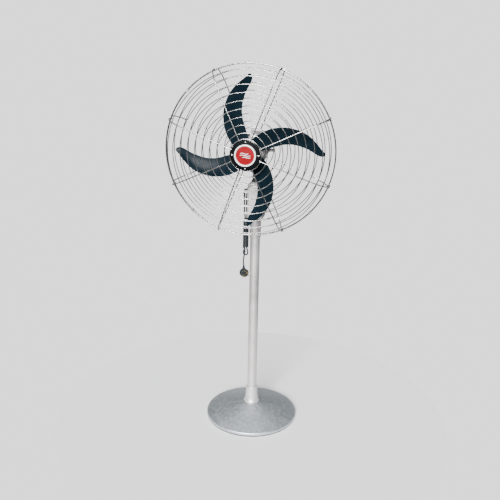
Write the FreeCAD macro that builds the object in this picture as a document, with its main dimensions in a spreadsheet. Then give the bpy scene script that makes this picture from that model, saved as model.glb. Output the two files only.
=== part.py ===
import FreeCAD, Part
import math
import os
import Sketcher

# Pedestal fan, 600 mm sweep, on a round weighted base. Millimetres. Origin at the centre of the base's
# underside, +Z up the pole. The fan blows towards -Y; +X is on the right seen from the front.

doc = FreeCAD.newDocument("pedestal_fan")
V = FreeCAD.Vector

# ---------------------------------------------------------------- sizes
SIZES = {
    # base
    "base_rad": 209.0, "base_lip_top": 17.0, "base_top": 66.0, "base_hub_margin": 8.0, "base_wall": 9.0,
    "foot_high": 5.0, "foot_wide": 19.0,
    # socket and bolts, each counted outwards from the pole's skin or upwards from the base
    "socket_flange_out": 14.8, "socket_waist_out": 8.3, "socket_top_out": 4.1, "socket_high": 77.0,
    "socket_floor": 6.0, "socket_bolt_out": 6.3, "socket_bolt_rad": 3.0,
    # telescopic pole
    "pole_rad": 21.2, "pole_wall": 2.5, "pole_long": 858.0,
    "bush_wall": 2.55, "mast_wall": 2.0, "mast_inside": 410.0, "mast_head": 35.0,
    "slide_gap": 0.15, "running_gap": 0.1, "free_gap": 0.4,
    # height collar
    "collar_wall": 3.05, "collar_long": 82.0, "collar_above": 20.0, "lock_below": 45.0,
    "lock_screw_rad": 4.0, "lock_knob_rad": 17.0, "lock_knob_long": 24.0,
    # regulator housing on top of the mast
    "house_gap": 8.0, "house_high": 157.0, "house_wide": 70.0, "house_deep": 92.0, "house_back": 12.0,
    "house_corner": 12.0, "house_wall": 3.5, "boss_wall": 7.0, "boss_high": 70.0,
    "cover_side": 10.0, "cover_low_gap": 3.0, "cover_top_gap": 46.0, "cover_thick": 2.5,
    "cover_screw_rad": 2.0,
    "dial_rad": 19.0, "dial_long": 16.0, "dial_down": 29.0,
    # tilt joint
    "fork_high": 45.0, "fork_rad": 14.5, "fork_ear": 4.0, "fork_base": 6.0,
    "tongue_half": 10.0, "tongue_long": 52.0, "side_gap": 0.5, "pivot_rad": 4.0, "washer_thick": 1.5,
    "tilt_knob_rad": 17.0, "tilt_knob_long": 26.0,
    # motor
    "motor_datum": 60.0, "motor_rad": 58.0, "motor_wall": 6.0, "motor_rear": 4.0, "core_behind": 19.0,
    "stator_bore": 30.0, "stator_long": 70.0, "air_gap": 0.5, "winding_room": 27.0, "flange_out": 2.0,
    "flange_thick": 8.0, "nose_step": 4.0, "nose_long": 30.0,
    "shaft_rad": 6.0, "shaft_out": 12.0, "bearing_rad": 13.0, "bearing_long": 9.0,
    # guard
    "ring_wire": 3.5, "spoke_wire": 4.5, "rim_wire": 5.5, "weld_bite": 0.3, "tip_gap": 40.0,
    "shoulder_wide": 55.0, "front_depth": 81.0, "front_dome": 2265.0, "rear_depth": 66.0,
    "rear_dome": 5900.0, "first_ring": 83.5, "last_ring_in": 46.0, "shoulder_ring_in": 21.0,
    "spider_thick": 3.0, "spider_wide": 12.0, "guard_seat": 1.0, "inner_ring_gap": 3.0,
    "rear_inner_ring": 87.0, "spoke_turn": 24.8,
    "rear_spoke_turn": 23.2,
    # front plate and badge
    "plate_rad": 58.0, "plate_thick": 1.5, "plate_screw_in": 7.0, "badge_in": 15.75, "badge_wall": 6.5,
    "badge_high": 8.0,
    # blades
    "sweep_rad": 297.5, "blade_thick": 1.8, "arm_thick": 3.0, "root_pitch": 24.0, "tip_pitch": 15.0,
    "blade_camber": 0.05, "hub_rad": 16.0, "hub_behind": 22.0, "hub_ahead": 6.0,
    # cord
    "cord_rad": 3.25, "hank_rad": 13.2, "hank_long": 138.0, "hank_out": 7.0, "hank_back": 4.0,
    "eye_rad": 11.0,
    "eye_long": 29.0, "exit_below": 38.0, "lead_out": 16.0, "fold_below": 53.0, "plug_rad": 19.0,
    "plug_below": 106.0, "plug_out": 4.0,
}
RING_COUNT = 8        # evenly pitched rings on each face of the guard
SPOKE_COUNT = 8
BLADE_COUNT = 4

sheet = doc.addObject("Spreadsheet::Sheet", "sizes")
for row, (alias, number) in enumerate(SIZES.items(), start=1):
    sheet.set("A%d" % row, alias)
    sheet.set("B%d" % row, str(number))
    sheet.setAlias("B%d" % row, alias)
doc.recompute()


class Size(float):
    """A length that remembers how it follows from the spreadsheet."""

    def __new__(cls, value, text):
        made = float.__new__(cls, value)
        made.text = text
        return made

    def __add__(self, other):
        return joined(self, "+", other, float(self) + float(other))

    def __radd__(self, other):
        return joined(other, "+", self, float(other) + float(self))

    def __sub__(self, other):
        return joined(self, "-", other, float(self) - float(other))

    def __rsub__(self, other):
        return joined(other, "-", self, float(other) - float(self))

    def __mul__(self, other):
        return joined(self, "*", other, float(self) * float(other))

    def __rmul__(self, other):
        return joined(other, "*", self, float(other) * float(self))

    def __truediv__(self, other):
        return joined(self, "/", other, float(self) / float(other))

    def __neg__(self):
        return joined(0.0, "-", self, -float(self))


def written(value):
    return value.text if isinstance(value, Size) else "%.9g" % float(value)


def joined(left, sign, right, value):
    return Size(value, "(%s %s %s)" % (written(left), sign, written(right)))


def S(alias):
    return Size(SIZES[alias], "sizes." + alias)


def follow(alias, size):
    """A size that follows from others, kept as a formula in the spreadsheet."""
    row = len(SIZES) + 1
    SIZES[alias] = float(size)
    sheet.set("A%d" % row, alias)
    sheet.set("B%d" % row, "=" + size.text.replace("sizes.", ""))
    sheet.setAlias("B%d" % row, alias)


follow("socket_top", S("base_top") + S("socket_high"))
follow("socket_flange_rad", S("pole_rad") + S("socket_flange_out"))
follow("socket_waist_rad", S("pole_rad") + S("socket_waist_out"))
follow("socket_top_rad", S("pole_rad") + S("socket_top_out"))
follow("socket_bolt_circle", S("pole_rad") + S("socket_bolt_out"))
follow("base_hub_rad", S("socket_flange_rad") + S("base_hub_margin"))
follow("pole_top", S("base_top") + S("socket_floor") + S("pole_long"))
follow("mast_rad", S("pole_rad") - S("pole_wall") - S("bush_wall") - S("slide_gap"))
follow("collar_rad", S("pole_rad") + S("collar_wall"))
follow("collar_top", S("pole_top") + S("collar_above"))
follow("collar_low", S("collar_top") - S("collar_long"))
follow("lock_height", S("collar_top") - S("lock_below"))
follow("house_low", S("collar_top") + S("house_gap"))
follow("house_top", S("house_low") + S("house_high"))
follow("mast_low", S("pole_top") - S("mast_inside"))
follow("mast_top", S("house_top") - S("mast_head"))
follow("boss_rad", S("mast_rad") + S("boss_wall"))
follow("cover_wide", S("house_wide") - S("cover_side") * 2)
follow("cover_low", S("house_low") + S("cover_low_gap"))
follow("cover_high", S("house_high") - S("cover_low_gap") - S("cover_top_gap"))
follow("dial_height", S("cover_low") + S("cover_high") - S("dial_down"))
follow("pivot_height", S("house_top") + S("fork_high"))
follow("head_height", S("pivot_height") + S("tongue_long") + S("motor_rad"))
follow("motor_bore", S("motor_rad") - S("motor_wall"))
follow("nose_rad", S("motor_rad") - S("nose_step"))
follow("flange_rad", S("motor_rad") + S("flange_out"))
follow("core_low", S("core_behind") - S("motor_rear"))
follow("motor_front", S("core_low") + S("stator_long") + S("winding_room"))
follow("flange_front", S("motor_front") + S("flange_thick"))
follow("nose_front", S("flange_front") + S("nose_long"))
follow("rim_ahead", S("flange_front") + S("spider_thick") + S("guard_seat") + S("rear_depth"))
follow("hub_rear", S("rim_ahead") - S("hub_behind"))
follow("hub_front", S("rim_ahead") + S("hub_ahead"))
follow("shaft_front", S("hub_front") + S("shaft_out"))
follow("guard_rad", S("sweep_rad") + S("tip_gap"))
follow("shoulder_start", S("guard_rad") - S("shoulder_wide"))
follow("shoulder_ring", S("guard_rad") - S("shoulder_ring_in"))
follow("ring_pitch", (S("guard_rad") - S("last_ring_in") - S("first_ring")) / (RING_COUNT - 1))
follow("front_inner_ring", S("plate_rad") + S("inner_ring_gap"))
follow("plate_screw_circle", S("plate_rad") - S("plate_screw_in"))
follow("badge_rad", S("plate_rad") - S("badge_in"))
follow("badge_bore", S("badge_rad") - S("badge_wall"))
follow("hank_side", S("house_wide") / 2 + S("hank_out"))
follow("lead_side", S("house_wide") / 2 + S("lead_out"))
follow("hank_top", S("house_low") - S("house_gap"))
follow("hank_low", S("hank_top") - S("hank_long"))
follow("eye_low", S("hank_low") - S("eye_long"))
follow("exit_height", S("house_top") - S("exit_below"))
follow("fold_top", S("house_top") - S("fold_below"))
follow("plug_height", S("hank_low") - S("plug_below"))
doc.recompute()


def bind(thing, path, value):
    """Ties one property to the spreadsheet, or sets it when it is a plain number."""
    if isinstance(value, Size):
        thing.setExpression(path, value.text)


def place(thing, at, turn):
    thing.Placement = FreeCAD.Placement(V(*[float(c) for c in at]), turn)
    for letter, value in zip("xyz", at):
        bind(thing, "Placement.Base." + letter, value)


UP = FreeCAD.Rotation()
AHEAD = FreeCAD.Rotation(V(1, 0, 0), 90)     # a part's own Z points at the viewer, -Y
BACK = FreeCAD.Rotation(V(1, 0, 0), -90)     # +Y
RIGHT = FreeCAD.Rotation(V(0, 1, 0), 90)     # +X
nodes = []


def keep(thing, label=None):
    """Marks a document object as one physical piece."""
    thing.Label = label or thing.Name
    nodes.append(thing)
    return thing


def primitive(kind, name, at=(0.0, 0.0, 0.0), turn=UP, **properties):
    thing = doc.addObject("Part::" + kind, name)
    for prop, value in properties.items():
        setattr(thing, prop, float(value))
        bind(thing, prop, value)
    place(thing, at, turn)
    return thing


def cylinder(name, radius, height, at=(0.0, 0.0, 0.0), turn=UP):
    return primitive("Cylinder", name, at, turn, Radius=radius, Height=height)


def cube(name, size, at):
    """A box centred on x and y of its lower face."""
    corner = (at[0] - size[0] / 2, at[1] - size[1] / 2, at[2])
    return primitive("Box", name, corner, UP, Length=size[0], Width=size[1], Height=size[2])


def torus(name, radius, wire_rad, ahead):
    return primitive("Torus", name, (0.0, -ahead, S("head_height")), AHEAD, Radius1=radius,
                     Radius2=wire_rad)


def joined_up(name, things):
    made = doc.addObject("Part::MultiFuse", name)
    made.Shapes = things
    return made


def together(name, things):
    made = doc.addObject("Part::Compound", name)
    made.Links = things
    return made


def cut(name, base, tools):
    made = doc.addObject("Part::Cut", name)
    made.Base = base
    made.Tool = tools[0] if len(tools) == 1 else joined_up(name + "_tools", tools)
    return made


def turned(name, outline, at=(0.0, 0.0, 0.0), turn=UP):
    """A lathe part: a body with one revolved outline of (radius, height) corners, each tied to the sheet."""
    body = doc.addObject("PartDesign::Body", name)
    sketch = doc.addObject("Sketcher::SketchObject", name + "_outline")
    body.addObject(sketch)
    plane = [f for f in body.Origin.OriginFeatures if f.Role == "XZ_Plane"][0]
    sketch.AttachmentSupport = (plane, [""])
    sketch.MapMode = "FlatFace"
    corners = [V(float(r), float(z), 0) for r, z in outline]
    for i, corner in enumerate(corners):
        sketch.addGeometry(Part.LineSegment(corner, corners[(i + 1) % len(corners)]))
    for i in range(len(corners)):
        sketch.addConstraint(Sketcher.Constraint("Coincident", i, 2, (i + 1) % len(corners), 1))
    for i, (r, z) in enumerate(outline):
        for kind, value, axis in (("DistanceX", r, -2), ("DistanceY", z, -1)):
            if abs(float(value)) < 1e-9:
                sketch.addConstraint(Sketcher.Constraint("PointOnObject", i, 1, axis))
                continue
            number = sketch.addConstraint(Sketcher.Constraint(kind, -1, 1, i, 1, float(value)))
            if isinstance(value, Size):
                label = "%s%d" % (kind[-1].lower(), i)
                sketch.renameConstraint(number, label)
                sketch.setExpression("Constraints." + label, value.text)
    spun = doc.addObject("PartDesign::Revolution", name + "_turned")
    body.addObject(spun)
    spun.Profile = sketch
    spun.ReferenceAxis = (sketch, ["V_Axis"])
    spun.Angle = 360
    place(body, at, turn)
    return body


def motor_turned(name, outline):
    """A lathe part on the fan's axis. Its heights count forward from a datum behind the motor."""
    datum = S("motor_datum")
    shifted = [(r, datum + w) for r, w in outline]
    return turned(name, shifted, (0.0, datum, S("head_height")), AHEAD)


def feature(name, shape):
    thing = doc.addObject("Part::Feature", name)
    thing.Shape = shape
    return thing


def polar(radius, degrees):
    return radius * math.cos(math.radians(degrees)), radius * math.sin(math.radians(degrees))


# ---------------------------------------------------------------- base and socket
# Cast round base, hollow underneath, standing on a rubber ring.
lip = S("base_rad") - S("foot_wide")
base_blank = turned("base_blank", [
    (0.0, S("base_top") - S("base_wall")), (0.0, S("base_top")), (S("base_hub_rad"), S("base_top")),
    (S("base_hub_rad") + 6, S("base_top") - 2.5), (S("base_rad") - 7, S("base_lip_top") + 2.5),
    (S("base_rad") - 2, S("base_lip_top")), (S("base_rad"), S("base_lip_top") - 3),
    (S("base_rad"), S("foot_high")), (lip, S("foot_high")), (lip, S("foot_high") + 7),
    (S("base_hub_rad") + 2, S("base_top") - 2.5 - S("base_wall")),
    (S("base_hub_rad") - 6, S("base_top") - S("base_wall"))])
bolt_holes = []
bolts = []
bolt_low = S("base_top") - S("base_wall")
for k in range(3):
    x, y = polar(1.0, 90 + 120 * k)
    spot = (S("socket_bolt_circle") * x, S("socket_bolt_circle") * y)
    bolt_holes.append(cylinder("bolt_hole%d" % k, S("socket_bolt_rad"), 40.0,
                               (spot[0], spot[1], bolt_low - 10)))
    shank = cylinder("bolt_shank%d" % k, S("socket_bolt_rad"), S("base_wall") + 14,
                     (spot[0], spot[1], bolt_low))
    hexagon = primitive("Prism", "bolt_head%d" % k, (spot[0], spot[1], bolt_low - 4), UP,
                        Circumradius=S("socket_bolt_rad") * 1.9, Height=4.0)
    bolts.append(joined_up("socket_bolt%d" % k, [shank, hexagon]))
keep(cut("base_shell", base_blank, bolt_holes))
keep(turned("base_foot_ring", [(lip, 0.0), (S("base_rad") - 1.5, 0.0),
                               (S("base_rad") - 0.5, S("foot_high")),
                               (lip, S("foot_high"))]))
keep(together("socket_bolts", bolts))

# Cast socket that the pole stands in, bolted up from under the base, with a set screw at the back.
floor = S("base_top") + S("socket_floor")
socket_blank = turned("socket_blank", [
    (0.0, S("base_top")), (S("socket_flange_rad"), S("base_top")),
    (S("socket_flange_rad"), S("base_top") + 4),
    (S("socket_waist_rad"), S("base_top") + 19), (S("socket_top_rad") + 0.4, S("socket_top") - 3),
    (S("socket_top_rad") - 1.2, S("socket_top")), (S("pole_rad"), S("socket_top")),
    (S("pole_rad"), floor),
    (0.0, floor)])
tapped = []
for k in range(3):
    x, y = polar(1.0, 90 + 120 * k)
    spot = (S("socket_bolt_circle") * x, S("socket_bolt_circle") * y)
    tapped.append(cylinder("tapped%d" % k, S("socket_bolt_rad"), 14.0, (spot[0], spot[1], S("base_top"))))
grub_at = (0.0, S("pole_rad"), S("socket_top") - 22)
grub_hole = cylinder("grub_hole", 3.0, 12.0, grub_at, BACK)
keep(cut("pole_socket", socket_blank, tapped + [grub_hole]))
keep(cylinder("socket_setscrew", 3.0, 6.0, grub_at, BACK))

# ---------------------------------------------------------------- pole, collar, bush
bore = S("pole_rad") - S("pole_wall")
pole_blank = turned("pole_blank", [(bore, floor), (S("pole_rad"), floor), (S("pole_rad"), S("pole_top")),
                                   (bore, S("pole_top"))])
screw_turn = FreeCAD.Rotation(V(0, 0, 1), 22) * AHEAD
sx, sy = polar(1.0, -68)
screw_reach = S("pole_rad") - 2.0
screw_at = (screw_reach * sx, screw_reach * sy, S("collar_low") + 21)
keep(cut("outer_tube", pole_blank, [
    cylinder("pole_lock_hole", S("lock_screw_rad") + 1, 30.0, (0.0, 0.0, S("lock_height")), BACK),
    cylinder("pole_screw_hole", 2.0, 10.0, screw_at, screw_turn)]))
guide = S("mast_rad") + S("slide_gap")
collar_blank = turned("collar_blank", [
    (S("pole_rad"), S("collar_low")), (S("collar_rad") - 1.5, S("collar_low")),
    (S("collar_rad"), S("collar_low") + 2),
    (S("collar_rad"), S("collar_top") - 3), (S("collar_rad") - 2.5, S("collar_top")),
    (guide + 0.4, S("collar_top")), (guide + 0.4, S("pole_top") + 5), (S("pole_rad"), S("pole_top") + 5)])
keep(cut("height_collar", collar_blank, [
    cylinder("collar_lock_hole", S("lock_screw_rad") + S("running_gap"), 30.0,
             (0.0, 0.0, S("lock_height")), BACK),
    cylinder("collar_screw_hole", 2.0, 10.0, screw_at, screw_turn)]))
head_reach = S("collar_rad") - 0.5
keep(joined_up("collar_screw", [
    cylinder("collar_screw_shank", 2.0, S("collar_rad") - S("pole_rad") + 2.0, screw_at, screw_turn),
    cylinder("collar_screw_head", 3.6, 2.6, (head_reach * sx, head_reach * sy, screw_at[2]),
             screw_turn)]))
bush_blank = turned("bush_blank", [(guide, S("collar_low") + 2), (bore, S("collar_low") + 2),
                                   (bore, S("pole_top")),
                                   (S("pole_rad"), S("pole_top")), (S("pole_rad"), S("pole_top") + 5),
                                   (guide, S("pole_top") + 5)])
keep(cut("collar_bush", bush_blank, [
    cylinder("bush_lock_hole", S("lock_screw_rad") + 1, 30.0, (0.0, 0.0, S("lock_height")), BACK)]))


def star_knob(name, radius, length, screw_rad, at, turn, lobes=5):
    """A five-lobed hand knob; its own Z runs from the clamped face outwards."""
    blank = cylinder(name + "_blank", radius, length * 0.72, at, turn)
    neck = cylinder(name + "_neck", radius * 0.55, length, at, turn)
    tools = []
    for k in range(lobes):
        x, y = polar(1.0, 90 + 360.0 * k / lobes)
        out = turn.multVec(V(float(radius) * 1.12 * x, float(radius) * 1.12 * y, float(length) * 0.28))
        tools.append(cylinder("%s_scoop%d" % (name, k), radius * 0.36, length,
                              tuple(a + b for a, b in zip(at, out)), turn))
    lift = turn.multVec(V(0, 0, float(length) * 0.28))
    blank.Placement.Base = blank.Placement.Base + lift
    for letter, a, b in zip("xyz", at, lift):
        bind(blank, "Placement.Base." + letter, a + b if isinstance(a, Size) else float(a) + b)
    bored = cylinder(name + "_bore", screw_rad, length * 0.8, at, turn)
    return cut(name, joined_up(name + "_solid", [blank, neck]), tools + [bored])


# Locking knob at the back of the collar, with its clamping screw.
lock_face = S("collar_rad") + 1.5
keep(star_knob("height_lock_knob", S("lock_knob_rad"), S("lock_knob_long"), S("lock_screw_rad"),
               (0.0, lock_face, S("lock_height")), BACK))
lock_tip = S("mast_rad") + S("free_gap")
keep(cylinder("height_lock_screw", S("lock_screw_rad"), lock_face + S("lock_knob_long") * 0.8 - lock_tip,
              (0.0, lock_tip, S("lock_height")), BACK))

# ---------------------------------------------------------------- mast
keep(turned("inner_tube", [
    (S("mast_rad") - S("mast_wall"), S("mast_low")), (S("mast_rad"), S("mast_low")),
    (S("mast_rad"), S("mast_top")), (S("mast_rad") - S("mast_wall"), S("mast_top"))]))

# ---------------------------------------------------------------- regulator housing
# Die-cast box that turns on the mast's top, closed at the back by a flat cover that carries the speed dial.
house_high = S("house_high")
house_box = cube("house_box", (S("house_wide"), S("house_deep"), house_high),
                 (0.0, S("house_back"), S("house_low")))


def rounded(name, box, radius):
    """A box with its four upright edges rounded."""
    made = doc.addObject("Part::Fillet", name)
    made.Base = box
    doc.recompute()
    upright = []
    for i, edge in enumerate(box.Shape.Edges, start=1):
        if abs(edge.tangentAt(edge.FirstParameter).z) > 0.99:
            upright.append((i, float(radius), float(radius)))
    made.Edges = upright
    return made


house_outer = rounded("house_outer", house_box, S("house_corner"))
house_bell = turned("house_bell", [
    (0.0, S("house_low")), (S("house_deep"), S("house_low")), (S("house_deep"), S("house_top") - 50),
    (50.0, S("house_top") - 36), (42.0, S("house_top") - 26), (33.0, S("house_top") - 12),
    (22.0, S("house_top")), (0.0, S("house_top"))], (0.0, 0.0, 0.0))
house_solid = doc.addObject("Part::Common", "house_solid")
house_solid.Base = house_outer
house_solid.Tool = house_bell
cavity_high = house_high - S("house_wall") - 32
cavity = rounded("cavity", cube("cavity_box", (S("house_wide") - S("house_wall") * 2,
                                               S("house_deep") - S("house_wall") * 2,
                                cavity_high), (0.0, S("house_back"), S("house_low") + S("house_wall"))),
                 S("house_corner") - S("house_wall"))
back_face = S("house_back") + S("house_deep") / 2
window = cube("window", (S("cover_wide") - 14, S("house_wall") * 3, S("cover_high") - 24),
              (0.0, back_face - S("house_wall"), S("house_low") + 15))
house_shell = cut("house_shell", house_solid, [cavity, window])
boss = cylinder("mast_boss", S("boss_rad"), S("boss_high"), (0.0, 0.0, S("house_low")))
mast_hole = cylinder("mast_hole", S("mast_rad") + S("running_gap"), S("mast_top") - S("house_low") + 1,
                     (0.0, 0.0, S("house_low")))
exit_at = (-S("house_wide") / 2 + S("house_wall"), S("hank_back"), S("exit_height"))
exit_hole = cylinder("exit_hole", 5.0, 10.0, (exit_at[0] + 2, exit_at[1], exit_at[2]),
                     FreeCAD.Rotation(V(0, 1, 0), -90))
front_face = S("house_back") - S("house_deep") / 2
clamp_hole = cylinder("clamp_hole", 3.0, 6 - S("mast_rad") - front_face,
                      (0.0, front_face - 3, S("house_low") + 12), BACK)
cover_low = S("cover_low")
screw_spots = []
for side in (-1, 1):
    for up in (0, 1):
        screw_spots.append((side * (S("cover_wide") / 2 - 5),
                            cover_low + 6 + up * (S("cover_high") - 12)))
cover_holes = []
cover_screws = []
for k, (x, z) in enumerate(screw_spots):
    cover_holes.append(cylinder("cover_hole%d" % k, S("cover_screw_rad"), 14.0, (x, back_face - 9, z),
                                BACK))
    shank = cylinder("cover_shank%d" % k, S("cover_screw_rad"), 9.0 + S("cover_thick"),
                     (x, back_face - 9, z), BACK)
    pan = cylinder("cover_pan%d" % k, 3.6, 2.2, (x, back_face + S("cover_thick"), z), BACK)
    cover_screws.append(joined_up("cover_screw%d" % k, [shank, pan]))
house_whole = joined_up("house_whole", [house_shell, boss])
keep(cut("neck_housing", house_whole, [mast_hole, exit_hole, clamp_hole] + cover_holes))
cover_plate = cube("cover_plate", (S("cover_wide"), S("cover_thick"), S("cover_high")),
                   (0.0, back_face + S("cover_thick") / 2, cover_low))
dial_hole = cylinder("dial_hole", 3.4, 20.0, (0.0, back_face - 5, S("dial_height")), BACK)
keep(cut("housing_cover", cover_plate, [dial_hole] + [cylinder("cover_clear%d" % k, S("cover_screw_rad"),
    14.0,
                                                               (x, back_face - 9, z), BACK)
                                                      for k, (x, z) in enumerate(screw_spots)]))
keep(together("cover_screws", cover_screws))
keep(cylinder("swivel_screw", 3.0, -S("mast_rad") - S("free_gap") - front_face - 0.6,
              (0.0, front_face + 0.6, S("house_low") + 12), BACK))

# Rotary speed switch on the inside of the cover, and its dial outside.
switch_deep = 22.0
switch_body = cube("switch_body", (30.0, switch_deep, 34.0), (0.0, back_face - switch_deep / 2,
                                                              S("dial_height") - 17))
switch_bore = cylinder("switch_bore", 3.4, 14.0, (0.0, back_face - 14, S("dial_height")), BACK)
keep(cut("regulator_switch", switch_body, [switch_bore]))
dial_face = back_face + S("cover_thick") + S("free_gap") + 0.2
dial_skirt = cylinder("dial_skirt", S("dial_rad"), S("dial_long") * 0.45,
                      (0.0, dial_face, S("dial_height")), BACK)
dial_grip = cylinder("dial_grip", S("dial_rad") * 0.72, S("dial_long"),
                     (0.0, dial_face, S("dial_height")), BACK)
dial_shaft = cylinder("dial_shaft", 3.0, S("cover_thick") + 12,
                      (0.0, dial_face - S("cover_thick") - 10, S("dial_height")),
                      BACK)
dial_flute = []
for k in range(12):
    x, z = polar(1.0, 30 * k)
    reach = S("dial_rad") * 0.78
    dial_flute.append(cylinder("dial_flute%d" % k, 2.2, S("dial_long"),
                               (reach * x, dial_face + S("dial_long") * 0.45,
                                                                        S("dial_height") + reach * z),
                                                                            BACK))
keep(cut("regulator_knob", joined_up("dial_solid", [dial_skirt, dial_grip, dial_shaft]), dial_flute))

# ---------------------------------------------------------------- tilt joint
ear_in = S("tongue_half") + S("side_gap")
ear_out = ear_in + S("fork_ear")
fork_low = S("house_top")
fork_parts = [cylinder("fork_disc", 21.0, S("fork_base"), (0.0, 0.0, fork_low))]
for side, name in ((-1, "left"), (1, "right")):
    middle = side * (ear_in + ear_out) / 2
    fork_parts.append(cube("fork_ear_" + name, (S("fork_ear"), S("fork_rad") * 2,
                                                S("pivot_height") - fork_low),
                           (middle, 0.0, fork_low)))
    fork_parts.append(cylinder("fork_eye_" + name, S("fork_rad"), S("fork_ear"),
                               (middle - S("fork_ear") / 2, 0.0, S("pivot_height")), RIGHT))
pivot_hole = cylinder("pivot_hole", S("pivot_rad"), 60.0, (-30.0, 0.0, S("pivot_height")), RIGHT)
keep(cut("tilt_fork", joined_up("fork_solid", fork_parts), [pivot_hole]))
washers = []
for side, name in ((-1, "left"), (1, "right")):
    start = ear_out if side > 0 else -ear_out - S("washer_thick")
    disc = cylinder("washer_" + name, S("pivot_rad") + 4, S("washer_thick"),
                    (start, 0.0, S("pivot_height")), RIGHT)
    hole = cylinder("washer_hole_" + name, S("pivot_rad"), S("washer_thick") * 3,
                    (start - S("washer_thick"), 0.0, S("pivot_height")), RIGHT)
    washers.append(cut("tilt_washer_" + name, disc, [hole]))
keep(together("tilt_washers", washers))
bolt_left = ear_out + S("washer_thick")
keep(joined_up("tilt_bolt", [
    primitive("Prism", "tilt_bolt_head", (-bolt_left - 5.3, 0.0, S("pivot_height")), RIGHT,
              Circumradius=S("pivot_rad") + 3.5, Height=5.3),
    cylinder("tilt_bolt_shank", S("pivot_rad"), bolt_left * 2 + S("free_gap") + S("tilt_knob_long") * 0.7,
             (-bolt_left, 0.0, S("pivot_height")), RIGHT)]))
keep(star_knob("tilt_knob", S("tilt_knob_rad"), S("tilt_knob_long"), S("pivot_rad") + S("running_gap"),
               (bolt_left + S("free_gap"), 0.0, S("pivot_height")), RIGHT))
motor_low = S("head_height") - S("motor_rad")
tongue_rad = S("fork_rad") - S("side_gap")
tongue = [
    cube("tongue_web", (S("tongue_half") * 2, tongue_rad * 2, motor_low + 4 - S("pivot_height")),
         (0.0, 0.0, S("pivot_height"))),
    cylinder("tongue_eye", tongue_rad, S("tongue_half") * 2, (-S("tongue_half"), 0.0, S("pivot_height")),
             RIGHT),
    cube("motor_saddle", (56.0, 60.0, 16.0), (0.0, -34.0, motor_low - 6))]
saddle_cut = cylinder("saddle_cut", S("motor_rad"), 200.0, (0.0, 60.0, S("head_height")), AHEAD)
tongue_hole = cylinder("tongue_hole", S("pivot_rad") + S("running_gap"), 60.0,
                       (-30.0, 0.0, S("pivot_height")), RIGHT)
keep(cut("tilt_lug", joined_up("tongue_solid", tongue), [saddle_cut, tongue_hole]))

# ---------------------------------------------------------------- motor
m_in, m_out = S("motor_bore"), S("motor_rad")
back_end = -S("motor_rear")
front_end = S("motor_front")
seat = S("nose_front") - 8
keep(motor_turned("motor_shell", [(m_in, back_end), (m_out, back_end), (m_out, front_end),
                                  (m_in, front_end)]))
keep(motor_turned("front_end_shield", [
    (m_in, front_end), (S("flange_rad"), front_end), (S("flange_rad"), S("flange_front")),
    (S("nose_rad"), S("flange_front")), (S("nose_rad"), S("nose_front") - 12),
    (S("nose_rad") - 4, S("nose_front") - 4),
    (S("nose_rad") - 12, S("nose_front")), (S("shaft_rad") + 3, S("nose_front")),
    (S("shaft_rad") + 3, seat), (S("bearing_rad"), seat),
    (S("bearing_rad"), seat - S("bearing_long") - 2), (S("bearing_rad") + 5,
                                                       seat - S("bearing_long") - 2),
    (S("bearing_rad") + 5, S("nose_front") - 6), (S("nose_rad") - 14, S("nose_front") - 6),
    (S("nose_rad") - 8, S("nose_front") - 10), (S("nose_rad") - 6, S("nose_front") - 16),
    (S("nose_rad") - 6, S("flange_front") - 1), (m_in, S("flange_front") - 1)]))
rear = back_end
rear_seat = rear - 13
keep(motor_turned("rear_end_shield", [
    (m_in, rear), (m_out, rear), (m_out, rear - 8), (m_out - 5, rear - 17), (m_out - 14, rear - 22),
    (0.0, rear - 22), (0.0, rear - 17), (S("shaft_rad") + 3, rear - 17), (S("shaft_rad") + 3, rear_seat),
    (S("bearing_rad"), rear_seat),
    (S("bearing_rad"), rear_seat + S("bearing_long") + 2), (S("bearing_rad") + 5,
                                                            rear_seat + S("bearing_long") + 2),
    (S("bearing_rad") + 5, rear - 15), (m_out - 17, rear - 15), (m_out - 10, rear - 12),
    (m_in, rear - 6)]))
inner_race = S("shaft_rad") + 0.05
keep(together("motor_bearings", [
    motor_turned("bearing_" + name, [(inner_race, w), (S("bearing_rad"), w),
                                     (S("bearing_rad"), w + S("bearing_long")),
                                     (inner_race, w + S("bearing_long"))])
    for name, w in (("front", seat - S("bearing_long")), ("rear", rear_seat))]))
core_low = S("core_low")
core_high = core_low + S("stator_long")
keep(motor_turned("stator_core", [(S("stator_bore"), core_low), (m_in, core_low), (m_in, core_high),
                                  (S("stator_bore"), core_high)]))
keep(together("stator_windings", [
    motor_turned("winding_" + name, [(S("stator_bore") + 3, a), (m_in - 3, a), (m_in - 5, b),
                                     (S("stator_bore") + 6, b)])
    for name, a, b in (("front", core_high, core_high + 16), ("rear", core_low - 0.001, core_low - 12))]))
keep(motor_turned("rotor_core", [(S("shaft_rad"), core_low), (S("stator_bore") - S("air_gap"), core_low),
                                 (S("stator_bore") - S("air_gap"), core_high),
                                 (S("shaft_rad"), core_high)]))
keep(motor_turned("motor_shaft", [(0.0, rear_seat + 1), (S("shaft_rad"), rear_seat + 1),
                                  (S("shaft_rad"), S("shaft_front") - 1),
                                  (S("shaft_rad") - 1, S("shaft_front")),
                                  (0.0, S("shaft_front"))]))
shield_screws = []
for k in range(4):
    x, z = polar(1.0, 45 + 90 * k)
    reach = S("motor_rad") - 3
    spot = (reach * x, -rear + 13.5, S("head_height") + reach * z)
    shank = cylinder("shield_shank%d" % k, 1.5, 18.0, (spot[0], spot[1] - 18, spot[2]), BACK)
    pan = cylinder("shield_pan%d" % k, 3.0, 2.2, (spot[0], spot[1], spot[2]), BACK)
    shield_screws.append(joined_up("shield_screw%d" % k, [shank, pan]))

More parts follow.
